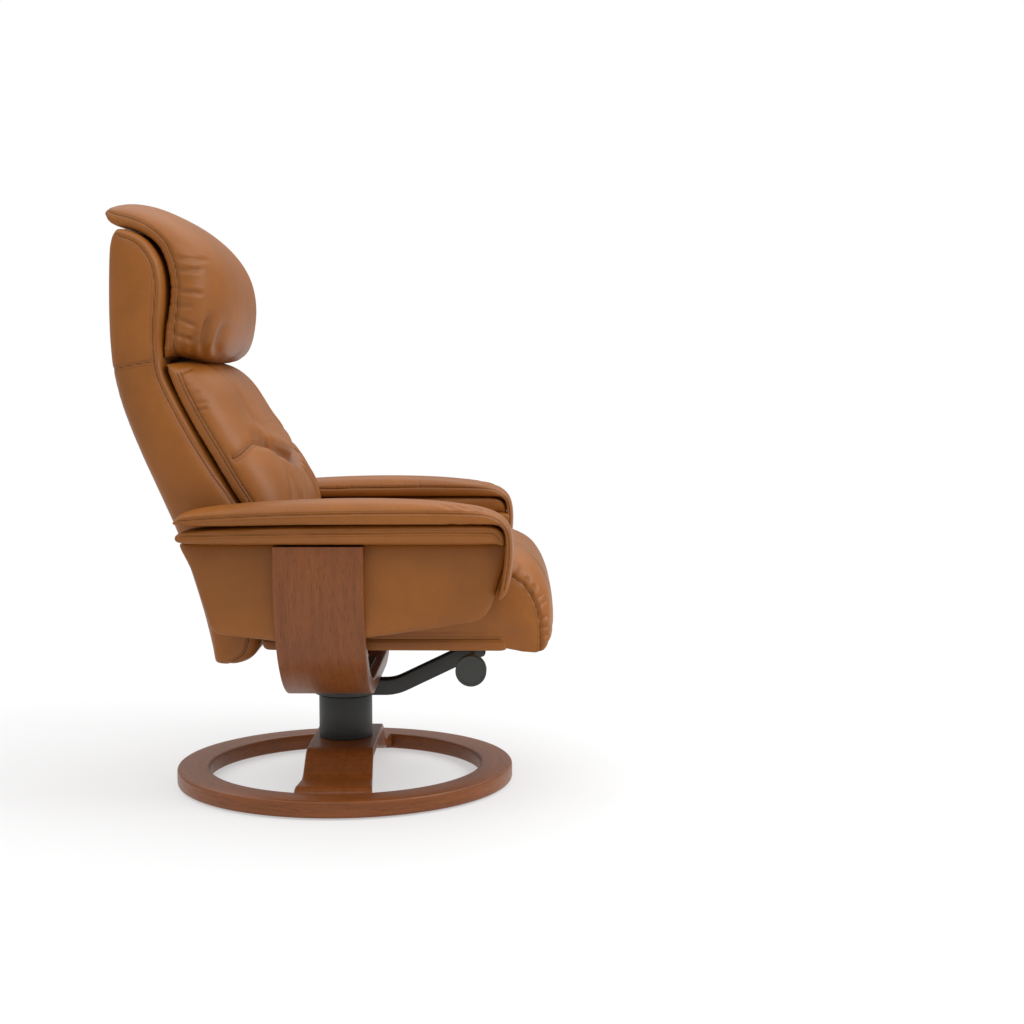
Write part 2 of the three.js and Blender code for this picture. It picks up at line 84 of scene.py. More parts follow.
class TimberSettings(bpy.types.PropertyGroup):
    colour: FloatVectorProperty(
        name="Stain colour", description="Colour of the stained bentwood",
        subtype="COLOR", default=(0.178, 0.050, 0.0085), min=0, max=1)
    edge_round: FloatProperty(
        name="Edge rounding", description="Radius of the wood's small edges",
        subtype="DISTANCE", unit="LENGTH", default=2.5 * MM, min=0.5 * MM, max=8 * MM)
    ring_round: FloatProperty(
        name="Ring rounding", description="Radius of the base ring's edges",
        subtype="DISTANCE", unit="LENGTH", default=5.5 * MM, min=0.5 * MM, max=12 * MM)


class MetalSettings(bpy.types.PropertyGroup):
    colour: FloatVectorProperty(
        name="Coating colour", description="Colour of the powder coat",
        subtype="COLOR", default=(0.028, 0.030, 0.026), min=0, max=1)


class StudioSettings(bpy.types.PropertyGroup):
    brightness: FloatProperty(
        name="Studio brightness", description="Strength of the even surrounding light", default=0.42, min=0,
        max=5)
    key_power: FloatProperty(
        name="Front power", description="Power of the softbox high in front", unit="POWER", default=45, min=0)


# ---- node trees -----------------------------------------------------------------------------------
class Nodes:
    """A material under construction: adds nodes and links them by name."""

    def __init__(self, name, base_color, roughness):
        self.material = bpy.data.materials.new(name)
        self.material.use_nodes = True
        self.material.diffuse_color = (*base_color, 1)
        self.tree = self.material.node_tree
        self.shader = self.tree.nodes["Principled BSDF"]
        self.shader.inputs["Base Color"].default_value = (*base_color, 1)
        self.shader.inputs["Roughness"].default_value = roughness

    def add(self, kind, inputs=None, **options):
        node = self.tree.nodes.new("ShaderNode" + kind)
        for key, value in options.items():
            setattr(node, key, value)
        for key, value in (inputs or {}).items():
            if isinstance(value, bpy.types.NodeSocket):
                self.tree.links.new(value, node.inputs[key])
            else:
                node.inputs[key].default_value = value
        return node

    def link(self, socket, name):
        self.tree.links.new(socket, self.shader.inputs[name])

    def maths(self, operation, first, second=None, clamp=False):
        inputs = {0: first}
        if second is not None:
            inputs[1] = second
        return self.add("Math", inputs, operation=operation, use_clamp=clamp).outputs[0]

    def band(self, value, low, high):
        """0 below low, 1 above high, smooth between."""
        node = self.add("MapRange", {"Value": value, "From Min": low, "From Max": high},
                        interpolation_type="SMOOTHSTEP")
        return node.outputs["Result"]

    def bump(self, *layers):
        """Stacks bumps, each a height, strength, distance and, where it dents, True."""
        normal = None
        for height, strength, distance, *inward in layers:
            inputs = {"Strength": strength, "Distance": distance, "Height": height}
            if normal:
                inputs["Normal"] = normal
            normal = self.add("Bump", inputs, invert=bool(inward)).outputs[0]
        self.link(normal, "Normal")

    def roughness(self, value, low, high):
        node = self.add("MapRange", {"Value": value, "To Min": low, "To Max": high})
        self.link(node.outputs["Result"], "Roughness")

    def mix(self, factor, first, second):
        node = self.add("Mix", data_type="RGBA")
        for index, value in ((0, factor), (6, first), (7, second)):
            if isinstance(value, bpy.types.NodeSocket):
                self.tree.links.new(value, node.inputs[index])
            else:
                node.inputs[index].default_value = value
        return node.outputs[2]


def shade(colour, factor):
    """A tint of a colour, as the mix nodes take it."""
    return tuple(min(1.0, c * factor) for c in colour) + (1.0,)


def leather(name, colour):
    """Semi-matt leather: fine pebbled grain, cloudy dyed colour, and seams with paired stitches.

    The attribute seam holds the distance to the nearest seam and how far along it a point is;
    fold sets painted shade in the bottoms of creases, and the seam grooves and a band beside
    them get painted shade too."""
    m = Nodes(name, colour, 0.44)
    place = m.add("TexCoord").outputs["Object"]
    soft = {"Vector": place, "Scale": 5.0, "Detail": 4.0, "Roughness": 0.55}
    cloud = m.add("TexNoise", soft).outputs["Fac"]
    blotch = m.add("TexNoise", {"Vector": place, "Scale": 34.0, "Detail": 3.0}).outputs["Fac"]
    speck = m.add("TexNoise", {"Vector": place, "Scale": 420.0, "Detail": 2.0}).outputs["Fac"]
    dye_and_shade = m.mix(m.band(cloud, 0.32, 0.68), shade(colour, 0.88), shade(colour, 1.12))
    dye_and_shade = m.mix(m.maths("MULTIPLY", m.band(blotch, 0.4, 0.75), 0.35), dye_and_shade, shade(colour, 0.86))
    dye_and_shade = m.mix(m.maths("MULTIPLY", m.band(speck, 0.52, 0.74), 0.30), dye_and_shade, shade(colour, 0.70))
    seam = m.add("Attribute", attribute_name="seam").outputs["Vector"]
    apart = m.add("SeparateXYZ", {0: seam})
    distance, along, fold = apart.outputs
    # groove marks the pressed-in seam line, painted dark as shade and dented by the bump below; near marks a wider
    # band beside it that gets a soft painted shade.
    groove = m.maths("SUBTRACT", 1.0, m.band(distance, 0.0004, 0.0018))
    near = m.maths("SUBTRACT", 1.0, m.band(distance, 0.0010, 0.0085))
    offset = m.maths("ABSOLUTE", m.maths("SUBTRACT", distance, 0.0045))
    row = m.maths("SUBTRACT", 1.0, m.band(offset, 0.0004, 0.0009))
    dash = m.band(m.maths("PINGPONG", m.maths("MULTIPLY", along, 1000.0), 2.6), 0.55, 0.95)
    stitch = m.maths("MULTIPLY", row, dash)
    # Painted shade in a band beside the seams.
    dye_and_shade = m.mix(m.maths("MULTIPLY", near, 0.14), dye_and_shade, shade(colour, 0.60))
    # Painted shade in the bottoms of creases and folds.
    dye_and_shade = m.mix(m.maths("MULTIPLY", fold, 0.75), dye_and_shade, shade(colour, 0.30))
    # Painted shade in the seam grooves.
    dye_and_shade = m.mix(m.maths("MULTIPLY", groove, 0.50), dye_and_shade, shade(colour, 0.34))
    dye_and_shade = m.mix(m.maths("MULTIPLY", stitch, 0.40), dye_and_shade, shade(colour, 0.55))
    # The base colour holds the leather's own cloudy tone and stitches, plus painted shade at seams and creases.
    m.link(dye_and_shade, "Base Color")
    pebble = m.add("TexVoronoi", {"Vector": place, "Scale": 620.0, "Smoothness": 0.6}, feature="SMOOTH_F1")
    fine = m.add("TexNoise", {"Vector": place, "Scale": 1500.0, "Detail": 2.0}).outputs["Fac"]
    worn = {"Vector": place, "Scale": 26.0, "Detail": 5.0, "Distortion": 1.2}
    crease = m.add("TexNoise", worn).outputs["Fac"]
    height = m.maths("SUBTRACT", m.maths("MULTIPLY", stitch, 0.6), m.maths("MULTIPLY", groove, 1.6))
    m.bump((pebble.outputs["Distance"], 0.14, 0.0004, True), (fine, 0.10, 0.0003), (crease, 0.12, 0.0025),
           (height, 0.8, 0.0012))
    m.roughness(cloud, 0.38, 0.52)
    m.shader.inputs["Specular IOR Level"].default_value = 0.32
    return m.material


def timber(name, colour):
    """Stained bentwood: fine dark pores and soft figure drawn out along the attribute grain."""
    m = Nodes(name, colour, 0.42)
    grain = m.add("Attribute", attribute_name="grain").outputs["Vector"]
    long = m.add("Mapping", {"Vector": grain, "Scale": (7.0, 90.0, 90.0)}).outputs[0]
    pores = m.add("Mapping", {"Vector": grain, "Scale": (60.0, 900.0, 900.0)}).outputs[0]
    broad = m.add("Mapping", {"Vector": grain, "Scale": (2.2, 14.0, 14.0)}).outputs[0]
    drawn = {"Vector": long, "Scale": 1.0, "Detail": 5.0, "Roughness": 0.6}
    figure = m.add("TexNoise", drawn).outputs["Fac"]
    pore = m.add("TexNoise", {"Vector": pores, "Scale": 1.0, "Detail": 2.0}).outputs["Fac"]
    cloud = m.add("TexNoise", {"Vector": broad, "Scale": 1.0, "Detail": 3.0}).outputs["Fac"]
    stain = m.mix(m.band(figure, 0.3, 0.7), shade(colour, 0.84), shade(colour, 1.16))
    stain = m.mix(m.maths("MULTIPLY", m.band(cloud, 0.35, 0.7), 0.25), stain, shade(colour, 1.35))
    layer = m.add("SeparateXYZ", {0: grain}).outputs[2]
    glue = m.maths("SUBTRACT", 1.0, m.band(m.maths("PINGPONG", layer, VENEER), 0.0002, 0.0007))
    stain = m.mix(m.maths("MULTIPLY", glue, 0.30), stain, shade(colour, 1.7))
    dark = m.maths("MULTIPLY", m.band(pore, 0.54, 0.68), 0.55)
    stain = m.mix(dark, stain, shade(colour, 0.38))
    m.link(stain, "Base Color")
    m.bump((pore, 0.22, 0.0004, True), (figure, 0.10, 0.0006))
    m.roughness(pore, 0.34, 0.54)
    m.shader.inputs["Specular IOR Level"].default_value = 0.26
    m.shader.inputs["Coat Weight"].default_value = 0.22
    m.shader.inputs["Coat Roughness"].default_value = 0.28
    return m.material


def coated(name, colour, roughness=0.46, texture=900.0):
    """Powder coat or moulded plastic with a fine even texture."""
    m = Nodes(name, colour, roughness)
    place = m.add("TexCoord").outputs["Object"]
    fine = m.add("TexNoise", {"Vector": place, "Scale": texture, "Detail": 3.0}).outputs["Fac"]
    wear = m.add("TexNoise", {"Vector": place, "Scale": 12.0, "Detail": 4.0}).outputs["Fac"]
    m.link(m.mix(m.band(wear, 0.35, 0.7), shade(colour, 0.88), shade(colour, 1.18)), "Base Color")
    m.bump((fine, 0.18, 0.0003))
    m.roughness(wear, roughness - 0.06, roughness + 0.08)
    return m.material


def plated(name):
    """Zinc plated steel with faint turning marks."""
    m = Nodes(name, (0.62, 0.61, 0.58), 0.28)
    place = m.add("TexCoord").outputs["Object"]
    lines = m.add("TexNoise", {"Vector": place, "Scale": 260.0, "Detail": 3.0}).outputs["Fac"]
    m.link(m.mix(lines, (0.50, 0.49, 0.46, 1), (0.74, 0.73, 0.70, 1)), "Base Color")
    m.roughness(lines, 0.2, 0.4)
    m.shader.inputs["Metallic"].default_value = 1.0
    return m.material


def layered(name, light, dark, scale):
    """Raw plywood, webbing or felt: thin bands or threads in two tones."""
    m = Nodes(name, light, 0.8)
    place = m.add("TexCoord").outputs["Object"]
    bands = {"Vector": place, "Scale": scale, "Distortion": 1.5, "Detail": 2.0}
    wave = m.add("TexWave", bands).outputs["Fac"]
    fleck = m.add("TexNoise", {"Vector": place, "Scale": 300.0, "Detail": 3.0}).outputs["Fac"]
    m.link(m.mix(m.maths("MULTIPLY", wave, fleck), (*light, 1), (*dark, 1)), "Base Color")
    m.bump((wave, 0.3, 0.0004))
    return m.material


MATERIALS = {}


def finishes():
    """The materials by the record's slot names, made once from the settings."""
    scene = bpy.context.scene
    if not MATERIALS:
        MATERIALS.update(
            leather=leather("caramel leather", tuple(scene.upholstery.colour)),
            stained_wood=timber("stained bentwood", tuple(scene.timber.colour)),
            dark_metal=coated("charcoal powder coat", tuple(scene.metalwork.colour)),
            black_knob=coated("textured knob plastic", (0.040, 0.042, 0.038), 0.6, 1400.0),
            nylon=coated("black nylon", (0.018, 0.018, 0.018), 0.4, 500.0),
            bright_steel=plated("zinc plated steel"),
            plywood=layered("birch plywood", (0.58, 0.40, 0.22), (0.33, 0.20, 0.10), 120.0),
            webbing=layered("woven webbing", (0.055, 0.053, 0.050), (0.02, 0.02, 0.02), 220.0),
            felt=layered("felt", (0.10, 0.07, 0.045), (0.05, 0.035, 0.02), 160.0),
        )
    return MATERIALS


# ---- mesh helpers ---------------------------------------------------------------------------------
def through(points, count):
    """Evenly spaced points on a smooth curve through the given ones."""
    p = np.array(points, float)
    ends = np.vstack([2 * p[0] - p[1], p, 2 * p[-1] - p[-2]])
    fine = []
    for a, b, c, d in zip(ends, ends[1:], ends[2:], ends[3:]):
        for t in np.linspace(0, 1, 16, endpoint=False):
            fine.append(0.5 * (2 * b + (c - a) * t + (2 * a - 5 * b + 4 * c - d) * t ** 2
                               + (3 * b - a - 3 * c + d) * t ** 3))
    fine = np.array(fine + [p[-1]])
    length = np.r_[0, np.cumsum(np.linalg.norm(np.diff(fine, axis=0), axis=1))]
    at = np.linspace(0, length[-1], count)
    return np.column_stack([np.interp(at, length, fine[:, k]) for k in range(fine.shape[1])])


def new_piece(name, vertices, faces):
    mesh = bpy.data.meshes.new(name)
    mesh.from_pydata([tuple(v) for v in vertices], [], faces)
    piece = bpy.data.objects.new(name, mesh)
    bpy.context.scene.collection.objects.link(piece)
    return piece


def only(piece):
    bpy.ops.object.select_all(action="DESELECT")
    piece.select_set(True)
    bpy.context.view_layer.objects.active = piece


def points_of(piece):
    co = np.empty(len(piece.data.vertices) * 3, np.float32)
    piece.data.vertices.foreach_get("co", co)
    return co.reshape(-1, 3).astype(float)


def normals_of(piece):
    return np.array([v.normal for v in piece.data.vertices], float).reshape(-1, 3)


def place_points(piece, co):
    piece.data.vertices.foreach_set("co", co.astype(np.float32).ravel())
    piece.data.update()


def forward_height(co):
    return np.column_stack([-co[:, 1], co[:, 2]])


def loft(name, back_line, front_line, centre, half, thin, power, corner=0.0, rows=64, slices=56):
    """A stuffed shape between two side lines [forward, height] that share their ends.

    Across the chair the front line draws in towards the back line, to the share thin at the sides;
    power sets how square the shoulder is, and corner narrows the ends of the lines."""
    back = through(back_line, rows)
    front = through(front_line, rows)
    vertices = []
    v = np.linspace(-1, 1, rows)
    for t in np.sin(np.linspace(-1, 1, slices) * math.pi / 2):
        full = (1 - abs(t) ** power) ** 0.5
        share = thin + (1 - thin) * full
        x = centre + half * t * (1 - corner * np.abs(v) ** 10)
        for line in (back, back + (front - back) * share):
            vertices += [(x[i], -line[i][0], line[i][1]) for i in range(rows)]
    faces = []
    for s in range(slices - 1):
        here = s * 2 * rows
        nxt = here + 2 * rows
        for i in range(rows - 1):
            faces.append((here + i, here + i + 1, nxt + i + 1, nxt + i))
            faces.append((here + rows + i + 1, here + rows + i, nxt + rows + i, nxt + rows + i + 1))
    for here, order in ((0, 1), ((slices - 1) * 2 * rows, -1)):
        for i in range(rows - 1):
            faces.append((here + i, here + rows + i, here + rows + i + 1, here + i + 1)[::order])
    return new_piece(name, vertices, faces)


def copy_of(name, node):
    """A merged copy of a CAD node's mesh, to be worked on."""
    piece = frame["nodes"][node].copy()
    piece.data = frame["nodes"][node].data.copy()
    piece.parent = None
    piece.name = name
    for key in list(piece.keys()):
        del piece[key]
    bpy.context.scene.collection.objects.link(piece)
    piece.hide_render = False
    piece.hide_viewport = False
    only(piece)
    bpy.ops.object.mode_set(mode="EDIT")
    bpy.ops.mesh.select_all(action="SELECT")
    bpy.ops.mesh.remove_doubles(threshold=1e-5)
    bpy.ops.mesh.normals_make_consistent(inside=False)
    bpy.ops.object.mode_set(mode="OBJECT")
    piece.data.materials.clear()
    return piece


def apply_modifiers(piece):
    only(piece)
    for modifier in list(piece.modifiers):
        bpy.ops.object.modifier_apply(modifier=modifier.name)


def remesh(piece, voxel=None, smooth=4):
    """Turns a piece into even small quads and softens its edges."""
    modifier = piece.modifiers.new("even quads", "REMESH")
    modifier.mode = "VOXEL"
    modifier.voxel_size = voxel or bpy.context.scene.upholstery.voxel
    soften = piece.modifiers.new("soften", "SMOOTH")
    soften.iterations = smooth
    soften.factor = 0.5
    apply_modifiers(piece)


def swell(piece, cap, held=None, pressure=1.0, frames=14):
    """Fills a piece like foam under its cover: cloth under pressure, moved at most cap, with the
    vertices marked in held kept where they are."""
    only(piece)
    start = points_of(piece)
    modifier = piece.modifiers.new("fill", "CLOTH")
    settings = modifier.settings
    settings.quality = 4
    settings.mass = 0.4
    settings.tension_stiffness = 12
    settings.compression_stiffness = 12
    settings.shear_stiffness = 6
    settings.bending_stiffness = 0.6
    settings.use_pressure = True
    settings.uniform_pressure_force = pressure * bpy.context.scene.upholstery.swell
    settings.effector_weights.gravity = 0
    modifier.collision_settings.use_collision = False
    if held is not None and held.any():
        group = piece.vertex_groups.new(name="held")
        group.add([int(i) for i in np.nonzero(held)[0]], 1.0, "REPLACE")
        settings.vertex_group_mass = "held"
    scene = bpy.context.scene
    for number in range(1, frames + 1):
        scene.frame_set(number)
    bpy.ops.object.modifier_apply(modifier=modifier.name)
    scene.frame_set(1)
    moved = points_of(piece) - start
    length = np.linalg.norm(moved, axis=1, keepdims=True)
    place_points(piece, start + moved * np.minimum(1, cap / np.maximum(length, 1e-9)))


def refine(piece, levels=1):
    modifier = piece.modifiers.new("refine", "SUBSURF")
    modifier.levels = levels
    modifier.render_levels = levels
    apply_modifiers(piece)


def line_distance(points, line):
    """Distance of plane points to a polyline, and how far along it their nearest point is."""
    best = np.full(len(points), 1.0)
    along = np.zeros(len(points))
    gone = 0.0
    for a, b in zip(line[:-1], line[1:]):
        d = b - a
        size = np.linalg.norm(d)
        t = np.clip(((points - a) @ d) / size ** 2, 0, 1)
        gap = np.linalg.norm(points - a - t[:, None] * d, axis=1)
        near = gap < best
        best[near] = gap[near]
        along[near] = gone + t[near] * size
        gone += size
    return best, along


class Seams:
    """Collects seams and folds on a refined piece, presses them in and stores them for the leather, which paints
    shade into the bottoms of the folds.
    """

    def __init__(self, piece):
        self.piece = piece
        self.co = points_of(piece)
        self.normal = normals_of(piece)
        self.side = forward_height(self.co)
        self.distance = np.full(len(self.co), 0.05)
        self.along = np.zeros(len(self.co))
        self.fold = np.zeros(len(self.co))
        self.push = np.zeros(len(self.co))

    def sew(self, distance, along, where, depth=0.0022, width=0.006, stitched=True):
        gap = np.where(where, distance, 0.05)
        near = gap < self.distance
        self.distance[near] = gap[near]
        self.along[near] = along[near] if stitched else 0.0
        self.push -= depth * np.exp(-(gap / width) ** 2)

    def side_seam(self, points, where, **options):
        line = through(points, 80)
        distance, along = line_distance(self.side, line)
        self.sew(distance, along, where, **options)
        return line

    def across_seam(self, value, along, where, **options):
        self.sew(np.abs(value), along, where, **options)

    def dent(self, a, b, depth, width, where=True, plane=None, fade=0.35):
        """A soft crease from a to b in the side plane, deepest in its middle, with painted shade along its bottom.
        """
        plane = self.side if plane is None else plane
        a, b = np.array(a, float), np.array(b, float)
        d = b - a
        size = np.linalg.norm(d)
        t = ((plane - a) @ d) / size ** 2
        across = np.abs((plane - a) @ np.array([-d[1], d[0]])) / size
        ends = np.clip(np.minimum(t, 1 - t) / fade, 0, 1)
        shape = np.where((t > 0) & (t < 1), ends * ends * (3 - 2 * ends), 0) * np.exp(-(across / width) ** 2)
        rim = np.where((t > 0) & (t < 1), ends, 0) * np.exp(-((across - 1.7 * width) / width) ** 2)
        weight = np.asarray(where, float)
        self.push += weight * (-depth * shape + 0.35 * depth * rim)
        # fold: painted shade along the bottom of the crease.
        self.fold += weight * 0.35 * shape * min(1, depth / 0.006)

    def gather(self, line, where, seed, spacing, reach, depth, width, lean=0.0, side=1):
        """Short puckers that run out from a seam line."""
        random = np.random.default_rng(seed)
        length = np.r_[0, np.cumsum(np.linalg.norm(np.diff(line, axis=0), axis=1))]
        at = spacing * 0.5
        while at < length[-1]:
            p = np.array([np.interp(at, length, line[:, k]) for k in (0, 1)])
            q = np.array([np.interp(min(at + 0.01, length[-1]), length, line[:, k]) for k in (0, 1)])
            q0 = np.array([np.interp(max(at - 0.01, 0), length, line[:, k]) for k in (0, 1)])
            along = (q - q0) / np.linalg.norm(q - q0)
            out = side * np.array([along[1], -along[0]]) + (lean + random.uniform(-0.35, 0.35)) * along
            size = reach * random.uniform(0.55, 1.15)
            strength = depth * random.uniform(0.5, 1.1)
            self.dent(p - out * 0.004, p + out * size, strength, width, where, fade=0.3)
            at += spacing * random.uniform(0.6, 1.4)

    def finish(self, limit=0.03):
        push = np.clip(self.push, -limit, limit)
        place_points(self.piece, self.co + self.normal * push[:, None])
        mesh = self.piece.data
        attribute = mesh.attributes.new("seam", "FLOAT_VECTOR", "POINT")
        # The third value, fold, is painted shade for the bottoms of creases.
        values = np.column_stack([self.distance, self.along, np.clip(self.fold, 0, 1)])
        attribute.data.foreach_set("vector", values.astype(np.float32).ravel())


def dress(piece, slot, body=None, nodes=(), angle=None):
    """Gives a piece its finish, the body it rides on and the CAD nodes it stands for."""
    piece.data.materials.clear()
    piece.data.materials.append(finishes()[slot])
    only(piece)
    if angle is not None:
        bpy.ops.object.shade_smooth_by_angle(angle=math.radians(angle))
    else:
        bpy.ops.object.shade_smooth()
    if nodes:
        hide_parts(*nodes)
    if body:
        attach(piece, body)
    return piece


def tube_along(name, points, radius, body, slot="leather", sides=10):
    """A round cord of welting along [x, forward, height] points, closed at both ends."""
    line = np.array([(x, -f, h) for x, f, h in points])
    vertices = []
    for i, p in enumerate(line):
        d = line[min(i + 1, len(line) - 1)] - line[max(i - 1, 0)]
        d /= np.linalg.norm(d)
        u = np.cross(d, (0, 0, 1) if abs(d[2]) < 0.9 else (0, 1, 0))
        u /= np.linalg.norm(u)
        w = np.cross(d, u)
        for k in range(sides):
            a = 2 * math.pi * k / sides
            vertices.append(p + radius * (math.cos(a) * u + math.sin(a) * w))
    faces = []
    for i in range(len(line) - 1):
        for k in range(sides):
            n = (k + 1) % sides
            faces.append((i * sides + k, i * sides + n, (i + 1) * sides + n, (i + 1) * sides + k))
    faces.append(tuple(range(sides))[::-1])
    last = (len(line) - 1) * sides
    faces.append(tuple(range(last, last + sides)))
    piece = new_piece(name, vertices, faces)
    only(piece)
    bpy.ops.object.mode_set(mode="EDIT")
    bpy.ops.mesh.select_all(action="SELECT")
    bpy.ops.mesh.normals_make_consistent(inside=False)
    bpy.ops.object.mode_set(mode="OBJECT")
    plain_seam(piece)
    return dress(piece, slot, body)


def plain_seam(piece):
    """Marks a piece as having no seams."""
    attribute = piece.data.attributes.new("seam", "FLOAT_VECTOR", "POINT")
    values = np.zeros((len(piece.data.vertices), 3), np.float32)
    values[:, 0] = 0.05
    attribute.data.foreach_set("vector", values.ravel())


# ---- headrest -------------------------------------------------------------------------------------
# Outlines are [forward, height] points in the chair's side plane, in metres.
HEAD_REAR = [(-0.288, 0.789), (-0.283, 0.838), (-0.274, 0.895), (-0.276, 0.940), (-0.291, 0.981),
             (-0.316, 1.003), (-0.344, 1.0135), (-0.366, 1.018), (-0.381, 1.029), (-0.388, 1.047)]
HEAD_FRONT = [(-0.288, 0.789), (-0.266, 0.795), (-0.242, 0.789), (-0.216, 0.786), (-0.193, 0.804),
              (-0.179, 0.845), (-0.175, 0.895), (-0.185, 0.945), (-0.213, 0.990), (-0.258, 1.030),
              (-0.310, 1.058), (-0.344, 1.067), (-0.370, 1.064), (-0.388, 1.047)]


class RECLINER_OT_headrest(bpy.types.Operator):
    """Builds the headrest cushion with its side seams and gathers"""

    bl_idname = "recliner.headrest"
    bl_label = "Headrest cushion"

    def execute(self, context):
        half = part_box("head_cushion")[1].x - 8 * MM
        piece = loft("headrest_cushion", HEAD_REAR, HEAD_FRONT, 0, half, 0.16, 3.4, corner=0.05)
        remesh(piece)
        co = points_of(piece)
        seam_line = through(HEAD_REAR, 60)
        rear_gap, _ = line_distance(forward_height(co), seam_line)
        swell(piece, 7 * MM, held=(rear_gap < 0.014), pressure=0.8)
        refine(piece)
        s = Seams(piece)
        outside = np.abs(s.co[:, 0]) > half - 0.055
        welt = [(-0.270, 0.796), (-0.267, 0.838), (-0.260, 0.895), (-0.262, 0.940), (-0.279, 0.988),
                (-0.309, 1.017), (-0.340, 1.031), (-0.366, 1.038), (-0.386, 1.046)]
        line = s.side_seam(welt, outside, depth=0.0016, width=0.004)
        s.gather(line[6:46], outside, 3, spacing=0.026, reach=0.05, depth=0.0030, width=0.0045)
        s.gather(line[6:40], outside, 5, spacing=0.034, reach=0.016, depth=0.0016, width=0.003, side=-1)
        toward_side = np.clip((np.abs(s.co[:, 0]) - 0.09) / 0.07, 0, 1)
        for a, b, depth in (((-0.232, 0.788), (-0.205, 0.880), 0.0060),
                            ((-0.214, 0.788), (-0.188, 0.862), 0.0045),
                            ((-0.248, 0.790), (-0.229, 0.846), 0.0030),
                            ((-0.262, 0.796), (-0.250, 0.826), 0.0022)):
            s.dent(a, b, depth, 0.006, toward_side)
        s.finish()
        dress(piece, "leather", "headrest", ["head_cushion"])
        return {"FINISHED"}


# ---- back -----------------------------------------------------------------------------------------
BACK_REAR = [(-0.119, 0.450), (-0.146, 0.524), (-0.172, 0.568), (-0.207, 0.628), (-0.234, 0.674),
             (-0.259, 0.722), (-0.274, 0.758), (-0.282, 0.782)]
BACK_FRONT = [(-0.119, 0.450), (-0.085, 0.447), (-0.060, 0.465), (-0.054, 0.510), (-0.062, 0.552),
              (-0.082, 0.594), (-0.108, 0.632), (-0.133, 0.664), (-0.158, 0.706), (-0.185, 0.748),
              (-0.212, 0.773), (-0.236, 0.784), (-0.262, 0.789), (-0.282, 0.782)]
PANEL_HALF = 0.128  # middle panel of the back and seat


class RECLINER_OT_back(bpy.types.Operator):
    """Builds the back cushion with its three panels and lumbar fold"""

    bl_idname = "recliner.back"
    bl_label = "Back cushion"

    def execute(self, context):
        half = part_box("back_cushion")[1].x - 4 * MM
        piece = loft("back_cushion_cover", BACK_REAR, BACK_FRONT, 0, half, 0.18, 4.2)
        remesh(piece)
        co = points_of(piece)
        side = forward_height(co)
        gap, _ = line_distance(side, through(BACK_REAR, 60))
        in_channel = (np.abs(np.abs(co[:, 0]) - PANEL_HALF) < 0.006) & (gap > 0.03)
        fold_line = (np.abs(side[:, 1] - self.fold_height(co)) < 0.006) & (gap > 0.03) & (
            np.abs(co[:, 0]) < PANEL_HALF + 0.07)
        swell(piece, 9 * MM, held=(gap < 0.014) | in_channel | fold_line, pressure=0.9)
        refine(piece)
        s = Seams(piece)
        front = line_distance(s.side, through(BACK_REAR, 60))[0] > 0.028
        x = s.co[:, 0]
        channel = np.abs(x) - PANEL_HALF + 0.012 * np.clip((s.side[:, 1] - 0.62) / 0.15, -1, 1)
        upper = front & (s.side[:, 1] > 0.47)
        s.across_seam(channel, s.side[:, 1], upper, depth=0.0060, width=0.011)
        s.across_seam(channel - 0.009, s.side[:, 1], upper, depth=0.0010, width=0.004, stitched=False)
        outside = np.abs(x) > half - 0.05
        for lift in (0.015, 0.021):
            welt = [(f + lift * 0.85, h + lift * 0.45) for f, h in BACK_REAR[:-1]]
            line = s.side_seam(welt, outside, depth=0.0010, width=0.003, stitched=False)
        s.gather(line[60:], outside, 11, spacing=0.02, reach=0.022, depth=0.002, width=0.003)
        drop = s.side[:, 1] - self.fold_height(s.co)
        middle = np.clip(1.25 - np.abs(x) / (PANEL_HALF + 0.035), 0, 1)
        s.push -= np.where(front, 0.017 * np.sqrt(middle) * np.exp(-(drop / 0.011) ** 2), 0)
        s.push += np.where(front, 0.006 * np.sqrt(middle) * np.exp(-((drop - 0.024) / 0.016) ** 2), 0)
        # Painted shade along the bottom of the lumbar fold.
        s.fold += np.where(front, 0.75 * middle * np.exp(-(drop / 0.005) ** 2), 0)
        wing = front & (np.abs(x) >= PANEL_HALF - 0.005)
        s.across_seam(drop, np.abs(x), wing, depth=0.0030, width=0.008)
        plan = np.column_stack([x, s.side[:, 1]])
        for a, b in (((0.05, 0.615), (0.118, 0.530)), ((0.02, 0.605), (0.075, 0.52)),
                     ((0.150, 0.60), (0.20, 0.52)), ((0.10, 0.76), (0.115, 0.66))):
            for mirror in (1, -1):
                s.dent((a[0] * mirror, a[1]), (b[0] * mirror, b[1]), 0.0032, 0.008, front, plane=plan)
        s.finish()
        dress(piece, "leather", "back", ["back_cushion"])
        return {"FINISHED"}

    @staticmethod
    def fold_height(co):
        """Height of the fold between the upper back and the lumbar roll, lowest at the middle."""
        x = np.abs(co[:, 0])
        rise = 0.040 * np.clip(x / 0.16, 0, 1) ** 1.5
        return 0.606 + rise - 0.03 * np.clip((x - 0.19) / 0.06, 0, 1) ** 2


SHELL_REAR = [(-0.204, 0.259), (-0.211, 0.302), (-0.225, 0.361), (-0.262, 0.478), (-0.292, 0.548),
              (-0.328, 0.628), (-0.356, 0.700), (-0.370, 0.752), (-0.376, 0.790), (-0.379, 0.850),
              (-0.378, 0.930),
              (-0.374, 0.990), (-0.362, 1.014)]
SHELL_FRONT = [(-0.204, 0.259), (-0.168, 0.259), (-0.140, 0.270), (-0.126, 0.292), (-0.118, 0.340),
               (-0.113, 0.390), (-0.122, 0.452), (-0.154, 0.530), (-0.214, 0.628), (-0.264, 0.722),
               (-0.288, 0.775), (-0.290, 0.822), (-0.283, 0.880), (-0.282, 0.925), (-0.290, 0.962),
               (-0.312, 0.994),
               (-0.340, 1.010), (-0.362, 1.014)]


